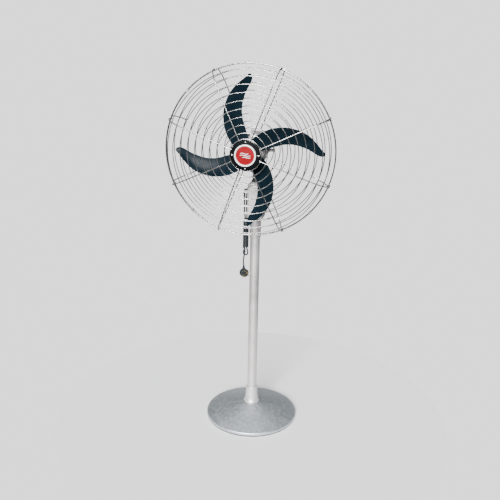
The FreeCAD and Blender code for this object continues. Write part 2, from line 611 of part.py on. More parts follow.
# ---------------------------------------------------------------- guard
class Face:
    """One half of the guard in section: a shallow dome that rolls over a shoulder arc to the rim."""

    def __init__(self, depth, dome, side):
        self.depth, self.dome, self.side = float(depth), float(dome), side
        start, rim = SIZES["shoulder_start"], SIZES["guard_rad"]
        self.slope = math.asin(start / self.dome)
        edge = self.depth - self.dome * (1 - math.cos(self.slope))
        across = rim - start
        self.roll = (across ** 2 + edge ** 2) / (2 * (edge * math.cos(self.slope) - across * math.sin(self.slope)))
        self.middle = (start - self.roll * math.sin(self.slope), edge - self.roll * math.cos(self.slope))

    def rise(self, radius):
        if radius <= SIZES["shoulder_start"]:
            return self.depth - self.dome + math.sqrt(self.dome ** 2 - radius ** 2)
        return self.middle[1] + math.sqrt(max(self.roll ** 2 - (radius - self.middle[0]) ** 2, 0.0))

    def on_dome(self, radius, lift):
        angle = math.asin(radius / self.dome)
        far = self.dome + lift
        return V(far * math.sin(angle), 0, self.side * (self.depth - self.dome + far * math.cos(angle)))

    def on_roll(self, angle, lift):
        """A point on the shoulder; the angle runs from the dome's edge to 90 degrees at the rim."""
        far = self.roll + lift
        return V(self.middle[0] + far * math.sin(angle), 0,
                 self.side * (self.middle[1] + far * math.cos(angle)))


front = Face(S("front_depth"), S("front_dome"), 1)
behind = Face(S("rear_depth"), S("rear_dome"), -1)
lift = (SIZES["ring_wire"] + SIZES["spoke_wire"]) / 2 - SIZES["weld_bite"]
rim_rad = S("guard_rad") - (S("rim_wire") - S("ring_wire")) / 2
HEAD = FreeCAD.Placement(V(0, -SIZES["rim_ahead"], SIZES["head_height"]), AHEAD)


def guard_rings(name, face, inner_radius):
    """Concentric wires; the two innermost and the shoulder wire have their own sizes."""
    radii = [inner_radius] + [S("first_ring") + S("ring_pitch") * k for k in range(RING_COUNT)] + [S("shoulder_ring")]
    if float(inner_radius) > SIZES["first_ring"]:
        radii.remove(radii[1])
    wires = []
    for k, radius in enumerate(radii):
        ahead = S("rim_ahead") + face.side * face.rise(float(radius))
        wires.append(torus("%s_wire%d" % (name, k), radius, S("ring_wire") / 2, ahead))
    return keep(together(name, wires))


def rod(points, wire_rad):
    """A round rod along a chain of edges in the guard's own frame."""
    path = Part.Wire(points)
    start = path.OrderedEdges[0]
    circle = Part.Wire(Part.makeCircle(wire_rad, start.valueAt(start.FirstParameter),
                                       start.tangentAt(start.FirstParameter)))
    swept = path.makePipeShell([circle], True, False)
    return swept.Solids[0] if swept.ShapeType != "Solid" else swept


def arc(a, b, c):
    return Part.Arc(a, b, c).toShape()


def guard_spokes(name, face, start, turn, hooked):
    """Radial wires welded on the outside of the rings; the front ones hook round both rims."""
    slope = face.slope
    edges = [arc(face.on_dome(start, lift), face.on_dome((start + SIZES["shoulder_start"]) / 2, lift),
                 face.on_dome(SIZES["shoulder_start"], lift))]
    last = math.pi / 2 if hooked else math.radians(84)
    edges.append(arc(face.on_roll(slope, lift), face.on_roll((slope + last) / 2, lift),
                     face.on_roll(last, lift)))
    if hooked:
        tip = face.on_roll(last, lift)
        hook = SIZES["rim_wire"] / 2 + SIZES["spoke_wire"] / 2 + 0.4
        below = V(tip.x, 0, -SIZES["rim_wire"] - 1.5)
        edges.append(Part.makeLine(tip, below))
        corner = below + V(-hook * (1 - math.cos(math.radians(45))), 0,
                           -hook * math.sin(math.radians(45)))
        edges.append(arc(below, corner, below + V(-hook, 0, -hook)))
        edges.append(Part.makeLine(below + V(-hook, 0, -hook), below + V(-hook - 3.0, 0, -hook)))
    one = rod(edges, SIZES["spoke_wire"] / 2)
    spokes = []
    for k in range(SPOKE_COUNT):
        copy = one.copy()
        copy.rotate(V(0, 0, 0), V(0, 0, 1), turn + 360.0 * k / SPOKE_COUNT)
        spokes.append(copy)
    bundle = feature(name, Part.makeCompound(spokes))
    bundle.Placement = HEAD
    return keep(bundle)


guard_rings("rear_guard_rings", behind, S("rear_inner_ring"))
guard_spokes("rear_guard_spokes", behind, SIZES["rear_inner_ring"] - 4, SIZES["rear_spoke_turn"], False)
keep(torus("rear_rim", rim_rad, S("rim_wire") / 2, S("rim_ahead") - S("rim_wire") / 2))
guard_rings("front_guard_rings", front, S("front_inner_ring"))
guard_spokes("front_guard_spokes", front, SIZES["plate_rad"] - 14, SIZES["spoke_turn"], True)
keep(torus("front_rim", rim_rad, S("rim_wire") / 2, S("rim_ahead") + S("rim_wire") / 2))

# Spring clips that pinch the two rims together between the hooks.
clips = []
for k in range(4):
    angle = SIZES["spoke_turn"] + 22.5 + 90 * k
    wire = SIZES["rim_wire"]
    outer = Part.makeBox(wire + 2.6, 14, wire * 2 + 2.6, V(-wire / 2 - 1.4, -7, -wire - 1.3))
    inner = Part.makeBox(wire + 3.0, 20, wire * 2 + 0.2, V(-wire / 2 - 3.0, -10, -wire - 0.1))
    clip = outer.cut(inner)
    clip.translate(V(float(rim_rad), 0, 0))
    clip.rotate(V(0, 0, 0), V(0, 0, 1), angle)
    clips.append(clip)
clip_set = feature("guard_clips", Part.makeCompound(clips))
clip_set.Placement = HEAD
keep(clip_set)

# Sheet spider that carries the rear guard on the motor's front flange.
spider_rear = S("flange_front")
spider_thick = S("spider_thick")
spider = [cylinder("spider_ring", S("flange_rad") + 6, spider_thick,
                   (0.0, -spider_rear, S("head_height")), AHEAD)]
for k in range(2):
    bar = primitive("Box", "spider_bar%d" % k, (0.0, 0.0, 0.0), UP, Length=2 * (S("rear_inner_ring") + 5),
                    Width=S("spider_wide"), Height=spider_thick)
    turn = AHEAD * FreeCAD.Rotation(V(0, 0, 1), 90 * k)
    corner = turn.multVec(V(-S("rear_inner_ring") - 5, -S("spider_wide") / 2, 0))
    place(bar, (corner.x, corner.y - spider_rear, corner.z + S("head_height")), turn)
    spider.append(bar)
nose_hole = cylinder("nose_hole", S("nose_rad"), 20.0, (0.0, -spider_rear + 5, S("head_height")), AHEAD)
keep(cut("guard_mount_plate", joined_up("spider_solid", spider), [nose_hole]))
mount_screws = []
for k in range(4):
    x, z = polar(1.0, 45 + 90 * k)
    reach = S("nose_rad") + 3
    spot = (reach * x, -spider_rear + 6, S("head_height") + reach * z)
    shank = cylinder("mount_shank%d" % k, 1.5, 6.0 + spider_thick, spot, AHEAD)
    pan = cylinder("mount_pan%d" % k, 2.8, 2.0, (spot[0], -spider_rear - spider_thick, spot[2]), AHEAD)
    mount_screws.append(joined_up("mount_screw%d" % k, [shank, pan]))
keep(together("motor_screws", shield_screws + mount_screws))

# ---------------------------------------------------------------- front plate and badge
wire_front = S("rim_ahead") + front.rise(SIZES["plate_rad"]) + lift
plate_back = wire_front + S("spoke_wire") / 2 + 0.25
plate_front = plate_back + S("plate_thick")
keep(motor_turned("centre_plate", [(0.0, plate_back), (S("plate_rad") - 1, plate_back),
                                   (S("plate_rad"), plate_back + 0.4),
                                   (S("plate_rad") - 0.5, plate_front), (0.0, plate_front)]))
ring_front = wire_front - S("spoke_wire") / 2
keep(motor_turned("plate_clamp_ring", [(S("plate_rad") - 15, ring_front - 2),
                                       (S("plate_rad") - 1, ring_front - 2),
                                       (S("plate_rad") - 1, ring_front),
                                       (S("plate_rad") - 15, ring_front)]))
plate_screws = []
for k in range(4):
    x, z = polar(1.0, 90 * k)
    spot = (S("plate_screw_circle") * x, -(ring_front - 4),
            S("head_height") + S("plate_screw_circle") * z)
    shank = cylinder("plate_shank%d" % k, 1.5, plate_front - ring_front + 4, spot, AHEAD)
    pan = cylinder("plate_pan%d" % k, 3.3, 2.2, (spot[0], -plate_front, spot[2]), AHEAD)
    plate_screws.append(joined_up("plate_screw%d" % k, [shank, pan]))
keep(together("plate_screws", plate_screws))
keep(motor_turned("badge_ring", [
    (S("badge_bore"), plate_front), (S("badge_rad"), plate_front),
    (S("badge_rad"), plate_front + S("badge_high") - 4),
    (S("badge_rad") - S("badge_wall") * 0.25, plate_front + S("badge_high") - 0.8),
    (S("badge_rad") - S("badge_wall") * 0.5, plate_front + S("badge_high")),
    (S("badge_bore") + S("badge_wall") * 0.34, plate_front + S("badge_high") - 0.6),
    (S("badge_bore"), plate_front + S("badge_high") - 4)]))
keep(motor_turned("badge_disc", [(0.0, plate_front), (S("badge_bore"), plate_front),
                                 (S("badge_bore"), plate_front + 1.6),
                                 (0.0, plate_front + 2.6)]))

# ---------------------------------------------------------------- blades and hub
# Sickle blades. Each station gives the radius as a share of the sweep and the two edges' angles there.
STATIONS = [
    (0.04, -20.0, 110.0), (0.155, 6.0, 80.0), (0.25, 10.5, 65.0), (0.336, 12.5, 56.0),
    (0.437, 13.5, 47.5),
    (0.524, 12.5, 40.5), (0.605, 10.5, 34.5), (0.689, 7.5, 28.0), (0.773, 4.5, 21.5), (0.84, 1.7, 15.5),
    (0.908, -0.7, 8.7), (0.958, -1.2, 4.0), (0.988, -0.6, 2.2), (1.0, 0.2, 1.2)]


def edges_at(share):
    """The leading and trailing edge angles at a share of the sweep radius."""
    for (a, lead_a, trail_a), (b, lead_b, trail_b) in zip(STATIONS, STATIONS[1:]):
        if share <= b:
            t = (share - a) / (b - a)
            return lead_a + (lead_b - lead_a) * t, trail_a + (trail_b - trail_a) * t
    return STATIONS[-1][1:]


def blade_point(share, across, shift):
    """A point of the blade's skin. across runs -0.5 at the leading edge to 0.5 at the trailing edge."""
    radius = SIZES["sweep_rad"] * share
    lead, trail = edges_at(share)
    middle, span = math.radians(lead + trail) / 2, math.radians(trail - lead)
    pitch = math.radians(SIZES["root_pitch"] + (SIZES["tip_pitch"] - SIZES["root_pitch"]) * share)
    wide = radius * span
    ahead = across * wide * math.tan(pitch) - SIZES["blade_camber"] * wide * (1 - 4 * across ** 2) + shift
    angle = middle + across * span
    return V(radius * math.cos(angle), radius * math.sin(angle), ahead)


def skin(shares, low, high, shift, thick):
    """A curved plate between two shares of the chord, lofted outwards through its stations."""
    sections = []
    ends = []
    for share in shares:
        rows = [[blade_point(share, low + (high - low) * j / 6, offset) for j in range(7)]
                for offset in (shift + thick / 2, shift - thick / 2)]
        sides = []
        for row in rows:
            spline = Part.BSplineCurve()
            spline.interpolate(row)
            sides.append(spline.toShape())
        sections.append(Part.Wire([sides[0], Part.makeLine(rows[0][-1], rows[1][-1]), sides[1],
                                   Part.makeLine(rows[1][0], rows[0][0])]))
        ends.append(sides)
    faces = Part.makeLoft(sections, False, False).Faces
    faces += [Part.makeRuledSurface(*ends[0]), Part.makeRuledSurface(*ends[-1])]
    shell = Part.makeShell(faces)
    shell.sewShape()
    solid = Part.makeSolid(shell)
    if solid.Volume < 0:
        solid.reverse()
    return solid


blade_shape = skin([s[0] for s in STATIONS[1:]], -0.5, 0.5, 0.0, SIZES["blade_thick"])
for k in range(BLADE_COUNT):
    blade = feature("blade_%d" % (k + 1), blade_shape.copy())
    blade.Placement = HEAD * FreeCAD.Placement(V(0, 0, 0), FreeCAD.Rotation(V(0, 0, 1), 90 * k))
    keep(blade)
arm_shift = -(SIZES["blade_thick"] + SIZES["arm_thick"]) / 2
arm_shape = skin([0.04, 0.10, 0.155, 0.20, 0.25, 0.28], -0.26, 0.22, arm_shift, SIZES["arm_thick"])
arms = []
for k in range(BLADE_COUNT):
    arm = feature("hub_arm%d" % k, arm_shape.copy())
    arm.Placement = HEAD * FreeCAD.Placement(V(0, 0, 0), FreeCAD.Rotation(V(0, 0, 1), 90 * k))
    arms.append(arm)
hub_long = S("hub_front") - S("hub_rear")
hub_boss = cylinder("hub_boss", S("hub_rad"), hub_long, (0.0, -S("hub_rear"), S("head_height")), AHEAD)
hub_bore = cylinder("hub_bore", S("shaft_rad"), 100.0, (0.0, -S("hub_rear") + 30, S("head_height")),
                    AHEAD)
keep(cut("blade_hub", joined_up("hub_solid", [hub_boss] + arms), [hub_bore]))
nut = primitive("Prism", "nut_blank", (0.0, -S("hub_front"), S("head_height")), AHEAD,
                Circumradius=S("shaft_rad") + 4, Height=9.0)
nut_hole = cylinder("nut_hole", S("shaft_rad"), 30.0, (0.0, -S("hub_front") + 10, S("head_height")),
                    AHEAD)
keep(cut("hub_nut", nut, [nut_hole]))
rivets = []
for k in range(BLADE_COUNT):
    for share in (0.185, 0.25):
        for across in (-0.14, 0.10):
            spot = blade_point(share, across, 0.0)
            flat = FreeCAD.Placement(V(0, 0, 0), FreeCAD.Rotation(V(0, 0, 1), 90 * k)).multVec(V(spot.x,
                spot.y, 0))
            reach = SIZES["arm_thick"] + SIZES["blade_thick"] / 2
            stem = Part.makeCylinder(2.2, reach + 3.6, V(flat.x, flat.y, spot.z - reach - 1.6))
            heads = [Part.makeCone(3.0, 4.4, 1.6, V(flat.x, flat.y, spot.z - reach - 2.2)),
                     Part.makeCone(4.4, 3.0, 1.6, V(flat.x, flat.y, spot.z + 1.4))]
            rivets.append(stem.fuse(heads).removeSplitter())
rivet_set = feature("blade_rivets", Part.makeCompound(rivets))
rivet_set.Placement = HEAD
keep(rivet_set)


# ---------------------------------------------------------------- power cord
def cord(name, points, radius):
    """A cord along straight runs joined by tangent arcs. Prints its tightest bend."""
    edges = []
    here = points[0]
    tightest = 1e9
    for a, b, c in zip(points, points[1:], points[2:]):
        into, out = (b - a), (c - b)
        turn = into.getAngle(out)
        shorter = min(into.Length, out.Length)
        bend = min(0.45 * shorter / math.tan(turn / 2), 400.0)
        into.normalize()
        out.normalize()
        back = bend * math.tan(turn / 2)
        start, end = b - into * back, b + out * back
        aside = (out - into)
        aside.normalize()
        middle = b + aside * (bend / math.cos(turn / 2) - bend)
        edges.append(Part.makeLine(here, start))
        edges.append(arc(start, middle, end))
        here = end
        tightest = min(tightest, bend)
    edges.append(Part.makeLine(here, points[-1]))
    path = Part.Wire(edges)
    solid = rod(edges, radius)
    ideal = math.pi * radius ** 2 * path.Length
    print("%s: length %.1f, tightest bend %.1f, volume ratio %.4f" % (name, path.Length, tightest,
        solid.Volume / ideal))
    return feature(name, solid)


side, behind_axis = SIZES["hank_side"], SIZES["hank_back"]
lead, out_z, cord_r = SIZES["lead_side"], SIZES["exit_height"], SIZES["cord_rad"]
hank_top, hank_low, wall_x = SIZES["hank_top"], SIZES["hank_low"], SIZES["house_wide"] / 2

# Moulded right-angle sleeve in the housing's left wall.
elbow = cord("gland_sleeve", [V(-wall_x, behind_axis, out_z), V(-lead, behind_axis, out_z),
                              V(-lead, behind_axis, out_z - 20)],
             cord_r + 1.6)
gland_nut = primitive("Prism", "gland_flange", (-S("house_wide") / 2, S("hank_back"), S("exit_height")),
                      FreeCAD.Rotation(V(0, 1, 0), -90), Circumradius=9.0, Height=4.0)
gland_stem = cylinder("gland_stem", 5.0, S("house_wall"), (exit_at[0], exit_at[1], exit_at[2]),
                      FreeCAD.Rotation(V(0, 1, 0), -90))
keep(joined_up("cord_gland", [elbow, gland_nut, gland_stem]))
keep(cord("power_lead", [V(-lead, behind_axis, out_z - 20), V(-lead, behind_axis, out_z - 62),
                         V(-lead + 1.2, behind_axis - 1, (out_z - 62 + hank_top) / 2 - 6),
                         V(-lead + 3.5, behind_axis, hank_top)], cord_r))
inside = -wall_x - cord_r - 0.45
fold_top = SIZES["fold_top"]
keep(cord("cord_loop", [V(inside, behind_axis - 6, hank_top), V(inside, behind_axis - 13, hank_top + 42),
                        V(inside, behind_axis - 19, fold_top - 30), V(inside, behind_axis - 17, fold_top),
                        V(inside, behind_axis + 17, fold_top), V(inside, behind_axis + 19, fold_top - 30),
                        V(inside, behind_axis + 13, hank_top + 42), V(inside, behind_axis + 6, hank_top)],
                        cord_r))
keep(turned("cord_hank", [
    (0.0, S("hank_low")), (S("hank_rad") - 2.5, S("hank_low")), (S("hank_rad"), S("hank_low") + 3),
    (S("hank_rad"), S("hank_top") - 3), (S("hank_rad") - 2.5, S("hank_top")), (0.0, S("hank_top"))],
    (-S("hank_side"), S("hank_back"), 0.0)))
eye_x, eye_low = SIZES["eye_rad"] - cord_r, SIZES["eye_low"] + cord_r
keep(cord("cord_eye", [V(-side - eye_x + 1, behind_axis, hank_low),
                       V(-side - eye_x - 2.5, behind_axis, hank_low - 14),
                       V(-side - 5, behind_axis, eye_low), V(-side + 5, behind_axis, eye_low),
                       V(-side + eye_x + 2.5, behind_axis, hank_low - 14),
                       V(-side + eye_x - 1, behind_axis, hank_low)],
          cord_r))
plug_at = V(-side - SIZES["plug_out"], behind_axis - 18, SIZES["plug_height"])
plug_top = plug_at.z + SIZES["plug_rad"] + 7
keep(cord("cord_tail", [V(-side - 1, behind_axis - 7, hank_low),
                        V(-side - 3.5, behind_axis - 8, hank_low - 24),
                        V(-side - 6.5, behind_axis - 12, hank_low - 50),
                        V(plug_at.x, plug_at.y, plug_top + 12),
                        V(plug_at.x, plug_at.y, plug_top)], cord_r))

# Round three-pin plug: its face looks to the front right, the cord leaves its rim upwards.
pin_turn = FreeCAD.Rotation(V(0, 0, 1), -50) * RIGHT
pins_out = pin_turn.multVec(V(0, 0, 1))
plug_body = turned("plug_round", [
    (0.0, 0.0), (S("plug_rad") - 1.5, 0.0), (S("plug_rad"), 1.5), (S("plug_rad"), 15.0),
    (S("plug_rad") - 2.5, 22.0),
    (S("plug_rad") - 7, 27.0), (S("plug_rad") - 12, 29.0), (0.0, 29.0)],
    tuple(plug_at + pins_out * 14), FreeCAD.Rotation(V(0, 0, 1), -50) * FreeCAD.Rotation(V(0, 1, 0), -90))
plug_neck = primitive("Cone", "plug_neck", (plug_at.x, plug_at.y, S("plug_height") + S("plug_rad") - 6),
                      UP,
                      Radius1=7.5, Radius2=5.0, Height=13.0)
keep(joined_up("plug_body", [plug_body, plug_neck]))
pins = []
for name, across, up, rad, long in (("live", -9.5, -7.0, 2.55, 16.0), ("neutral", 9.5, -7.0, 2.55, 16.0),
                                    ("earth", 0.0, 9.0, 3.5, 20.0)):
    aside = pin_turn.multVec(V(0, 1, 0)) * across
    spot = plug_at + pins_out * 13.0 + aside + V(0, 0, up)
    pins.append(cylinder("pin_" + name, rad, long + 1.0, tuple(spot), pin_turn))
keep(together("plug_pins", pins))

# ---------------------------------------------------------------- check and export
doc.recompute()
os.makedirs("parts", exist_ok=True)
for thing in doc.Objects:
    bad = [s for s in thing.State if s in ("Invalid", "Error")]
    if bad:
        raise RuntimeError("%s is %s" % (thing.Name, bad))
for node in nodes:
    shape = node.Shape
    if shape.isNull() or not shape.isValid() or not shape.Solids:
        raise RuntimeError("%s has no valid solid" % node.Label)
    shape.exportStep(os.path.join("parts", node.Label + ".step"))
print("%d nodes" % len(nodes))
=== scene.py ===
import bmesh
import bpy
import math
from mathutils import Matrix, Vector


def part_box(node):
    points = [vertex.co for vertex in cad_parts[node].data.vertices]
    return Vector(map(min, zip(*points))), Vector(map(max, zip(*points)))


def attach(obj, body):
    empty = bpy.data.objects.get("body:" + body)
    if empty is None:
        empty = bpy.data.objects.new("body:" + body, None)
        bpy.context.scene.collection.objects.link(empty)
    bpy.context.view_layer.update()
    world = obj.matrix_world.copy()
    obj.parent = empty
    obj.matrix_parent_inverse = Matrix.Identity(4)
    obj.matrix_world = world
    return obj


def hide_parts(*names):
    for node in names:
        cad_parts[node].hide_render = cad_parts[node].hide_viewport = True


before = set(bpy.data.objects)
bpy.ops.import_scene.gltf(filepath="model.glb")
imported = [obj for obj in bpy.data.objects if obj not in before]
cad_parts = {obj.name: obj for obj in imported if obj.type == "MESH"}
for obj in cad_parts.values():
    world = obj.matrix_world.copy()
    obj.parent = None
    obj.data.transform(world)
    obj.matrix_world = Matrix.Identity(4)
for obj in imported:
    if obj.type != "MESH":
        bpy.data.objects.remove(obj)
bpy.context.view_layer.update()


# Base. A heavy round iron casting in grey-silver enamel, low and conical, with a short upright
# lip. It stands on a black rubber ring pressed under its rim; three bolts hold the socket on it.
def enamel(name, colour, shade, roughness, mottle=9.0, peel=700.0, peel_depth=0.00004, metal=0.0,
           varnish=0.0, shine=0.5):
    """A sprayed or plated surface: faint clouding in colour and gloss, and an orange-peel skin."""
    made = bpy.data.materials.new(name)
    made.use_nodes = True
    nodes, links = made.node_tree.nodes, made.node_tree.links
    shader = nodes["Principled BSDF"]
    shader.inputs["Metallic"].default_value = metal
    shader.inputs["Coat Weight"].default_value = varnish
    shader.inputs["Coat Roughness"].default_value = 0.12
    shader.inputs["Specular IOR Level"].default_value = shine
    place = nodes.new("ShaderNodeTexCoord")
    cloud = nodes.new("ShaderNodeTexNoise")
    cloud.inputs["Scale"].default_value = mottle
    cloud.inputs["Detail"].default_value = 7.0
    links.new(place.outputs["Object"], cloud.inputs["Vector"])
    tint = nodes.new("ShaderNodeValToRGB")
    tint.color_ramp.elements[0].position = 0.36
    tint.color_ramp.elements[0].color = (*shade, 1)
    tint.color_ramp.elements[1].position = 0.62
    tint.color_ramp.elements[1].color = (*colour, 1)
    links.new(cloud.outputs["Fac"], tint.inputs["Fac"])
    links.new(tint.outputs["Color"], shader.inputs["Base Color"])
    gloss = nodes.new("ShaderNodeMapRange")
    gloss.inputs["From Min"].default_value = 0.3
    gloss.inputs["From Max"].default_value = 0.7
    gloss.inputs["To Min"].default_value = roughness * 0.85
    gloss.inputs["To Max"].default_value = min(roughness * 1.2, 1.0)
    links.new(cloud.outputs["Fac"], gloss.inputs["Value"])
    links.new(gloss.outputs["Result"], shader.inputs["Roughness"])
    skin = nodes.new("ShaderNodeTexNoise")
    skin.inputs["Scale"].default_value = peel
    skin.inputs["Detail"].default_value = 2.0
    links.new(place.outputs["Object"], skin.inputs["Vector"])
    relief = nodes.new("ShaderNodeBump")
    relief.inputs["Strength"].default_value = 0.6
    relief.inputs["Distance"].default_value = peel_depth
    links.new(skin.outputs["Fac"], relief.inputs["Height"])
    links.new(relief.outputs["Normal"], shader.inputs["Normal"])
    return made


def coat(node, material):
    """Paints a CAD piece that keeps its own shape."""
    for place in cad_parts[node].material_slots:
        place.material = material


def fit(name, mesh, body, material, stands_for=(), edge=0.0006, at=Matrix.Identity(4), sharp=32.0):
    """Puts a finished mesh on its body with its paint, smooth faces and small rounded edges."""
    mesh.transform(at)
    mesh.materials.append(material)
    mesh.shade_smooth()
    mesh.set_sharp_from_angle(angle=math.radians(sharp))
    piece = bpy.data.objects.new(name, mesh)
    bpy.context.scene.collection.objects.link(piece)
    if edge:
        rounding = piece.modifiers.new("rounded edges", "BEVEL")
        rounding.width = edge
        rounding.segments = 3
        rounding.limit_method = "ANGLE"
        rounding.angle_limit = math.radians(sharp)
        rounding.harden_normals = True
    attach(piece, body)
    if stands_for:
        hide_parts(*stands_for)
    return piece


def finished(build, name):
    """Turns a built-up mesh into one that an object can carry."""
    made = bpy.data.meshes.new(name)
    build.to_mesh(made)
    build.free()
    return made


def circle(radius, height, steps):
    """Evenly spaced points round Z."""
    return [(radius * math.cos(math.tau * k / steps), radius * math.sin(math.tau * k / steps), height)
            for k in range(steps)]


def lathe(outline, steps=128):
    """A closed ring-shaped or solid mesh spun round Z from (radius, height) corners."""
    on_axis = 1e-7
    mesh = bmesh.new()
    rows = []
    for radius, height in outline:
        if radius < on_axis:
            rows.append([mesh.verts.new((0, 0, height))] * steps)
        else:
            rows.append([mesh.verts.new(point) for point in circle(radius, height, steps)])
    for low, high in zip(rows, rows[1:] + rows[:1]):
        for k in range(steps):
            corners = list(dict.fromkeys([low[k], low[(k + 1) % steps], high[(k + 1) % steps], high[k]]))
            if len(corners) > 2 and not (low[0] is low[1] and high[0] is high[1]):
                mesh.faces.new(corners)
    bmesh.ops.recalc_face_normals(mesh, faces=mesh.faces)
    return finished(mesh, "spun")


base_low, base_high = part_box("base_shell")
base_rad, base_top, foot_top = base_high.x, base_high.z, base_low.z
hub_rad, lip_top, base_wall, foot_wide = 0.044, 0.017, 0.009, 0.019
base_grey = enamel("base grey enamel", (0.52, 0.56, 0.60), (0.43, 0.46, 0.48), 0.46, mottle=70.0, peel=900.0,
                   peel_depth=0.00006, metal=0.9)
fit("base", lathe([
    (0.0, base_top - base_wall), (0.0, base_top), (hub_rad, base_top), (hub_rad + 0.006, base_top - 0.0025),
    (base_rad - 0.007, lip_top + 0.0025), (base_rad - 0.002, lip_top), (base_rad, lip_top - 0.003),
    (base_rad, foot_top), (base_rad - foot_wide, foot_top), (base_rad - foot_wide, foot_top + 0.007),
    (hub_rad + 0.002, base_top - 0.0025 - base_wall), (hub_rad - 0.006, base_top - base_wall)], steps=192),
    "stand", base_grey, ["base_shell"], edge=0.0012, sharp=12.0)
rubber = enamel("black rubber", (0.022, 0.022, 0.024), (0.03, 0.03, 0.03), 0.72, mottle=40.0, peel=1500.0,
                peel_depth=0.00012)
coat("base_foot_ring", rubber)
zinc = enamel("zinc plate", (0.62, 0.62, 0.61), (0.50, 0.50, 0.50), 0.3, mottle=90.0, peel=2500.0,
              peel_depth=0.00002, metal=1.0)
coat("socket_bolts", zinc)

# Socket. A cast collar bolted to the middle of the base; the pole stands in it, held by a set screw
# at the back. It is painted a lighter silver than the base.
silver = enamel("silver paint", (0.66, 0.63, 0.62), (0.59, 0.565, 0.555), 0.50, mottle=11.0, peel=1100.0,
                peel_depth=0.00003, metal=0.85)
cast_silver = enamel("silver on casting", (0.60, 0.58, 0.57), (0.52, 0.505, 0.50), 0.50, mottle=18.0,
                     peel=420.0, peel_depth=0.00012, metal=0.6)
socket_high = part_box("pole_socket")[1]
flange_rad, socket_top = socket_high.x, socket_high.z
pole_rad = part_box("outer_tube")[1].x
pole_foot = base_top + 0.006
fit("socket", lathe([
    (0.0, base_top), (flange_rad, base_top), (flange_rad, base_top + 0.004), (0.0334, base_top + 0.0095),
    (0.0313, base_top + 0.0145), (0.0298, base_top + 0.019), (0.0291, base_top + 0.027),
    (0.0257, socket_top - 0.003), (0.0241, socket_top), (pole_rad, socket_top), (pole_rad, pole_foot),
    (0.0, pole_foot)]),
    "stand", cast_silver, ["pole_socket"], edge=0.0008, sharp=20.0)
coat("socket_setscrew", zinc)

# Pole and collar. A drawn steel tube painted silver, with a thicker collar round its top. The collar
# clamps a plastic bush in which the inner tube slides; one small screw pins it to the pole.
tube_low, tube_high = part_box("outer_tube")
tube_bore = pole_rad - 0.0025
fit("pole", lathe([(tube_bore, tube_low.z), (pole_rad, tube_low.z),
                   (pole_rad, tube_high.z), (tube_bore, tube_high.z)]),
    "stand", silver, ["outer_tube"], edge=0.0006)
collar_low, collar_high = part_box("height_collar")
collar_rad, mast_guide, collar_step = collar_high.x, 0.01655, tube_high.z + 0.005
fit("collar", lathe([
    (pole_rad, collar_low.z), (collar_rad - 0.0015, collar_low.z), (collar_rad, collar_low.z + 0.002),
    (collar_rad, collar_high.z - 0.003), (collar_rad - 0.0025, collar_high.z), (mast_guide, collar_high.z),
    (mast_guide, collar_step), (pole_rad, collar_step)]),
    "stand", silver, ["height_collar"], edge=0.0005, sharp=20.0)
nylon = enamel("natural nylon", (0.68, 0.65, 0.57), (0.62, 0.59, 0.51), 0.5, mottle=30.0, peel=900.0)
coat("collar_bush", nylon)
coat("inner_tube", silver)


def walls(mesh, rings):
    """Faces between each ring of points and the next."""
    for low, high in zip(rings, rings[1:]):
        for k in range(len(low)):
            j = (k + 1) % len(low)
            mesh.faces.new((low[k], low[j], high[j], high[k]))


def stack(mesh, rings):
    """A closed body of rings: its walls, its foot and its top."""
    walls(mesh, rings)
    mesh.faces.new(list(reversed(rings[0])))
    mesh.faces.new(rings[-1])


def pan_head(width, height):
    """A domed screw head with a cross recess, standing on Z = 0."""
    dome = [(width * 0.5, 0.0), (width * 0.5, height * 0.35), (width * 0.44, height * 0.68),
            (width * 0.3, height * 0.92), (width * 0.14, height)]
    steps = 24
    mesh = bmesh.new()
    rings = []
    for radius, up in dome:
        rings.append([mesh.verts.new(point) for point in circle(radius, up, steps)])
    mesh.faces.new(list(reversed(rings[0])))
    walls(mesh, rings)
    arm, slot = width * 0.26, width * 0.06
    cross = []
    for k in range(4):
        turn = Matrix.Rotation(math.tau * k / 4, 3, "Z")
        for x, y in ((slot, slot), (slot, arm), (-slot, arm)):
            cross.append(turn @ Vector((x, y, 0)))
    rim = [mesh.verts.new((p.x, p.y, height * 0.98)) for p in cross]
    pit = [mesh.verts.new((p.x * 0.8, p.y * 0.8, height * 0.35)) for p in cross]
    sides = [(i, (i + 1) % len(rim)) for i in range(len(rim))]
    edges = [mesh.edges.new((rim[i], rim[j])) for i, j in sides]
    top = [mesh.edges.get((rings[-1][k], rings[-1][(k + 1) % steps])) for k in range(steps)]
    bmesh.ops.bridge_loops(mesh, edges=edges + top)
    for i, j in sides:
        mesh.faces.new((rim[i], rim[j], pit[j], pit[i]))
    mesh.faces.new(pit)
    bmesh.ops.recalc_face_normals(mesh, faces=mesh.faces)
    return finished(mesh, "screw head")


def gather(parts):
    """Joins several placed meshes into one."""
    whole = bmesh.new()
    for mesh, place in parts:
        mesh.transform(place)
        whole.from_mesh(mesh)
    return finished(whole, "gathered")


aim_front = Matrix.Rotation(math.radians(90), 4, "X")     # a piece's own Z then points forward
aim_back = Matrix.Rotation(math.radians(-90), 4, "X")
aim_right = Matrix.Rotation(math.radians(90), 4, "Y")
screw_z = collar_low.z + 0.021
screw_round = Matrix.Rotation(math.radians(22), 4, "Z")
screw_seat = Matrix.Translation((0, -collar_rad + 0.0004, 0)) @ aim_front
fit("collar_screw_head", pan_head(0.0072, 0.0026), "stand", zinc, ["collar_screw"], edge=0,
    at=Matrix.Translation((0, 0, screw_z)) @ screw_round @ screw_seat)


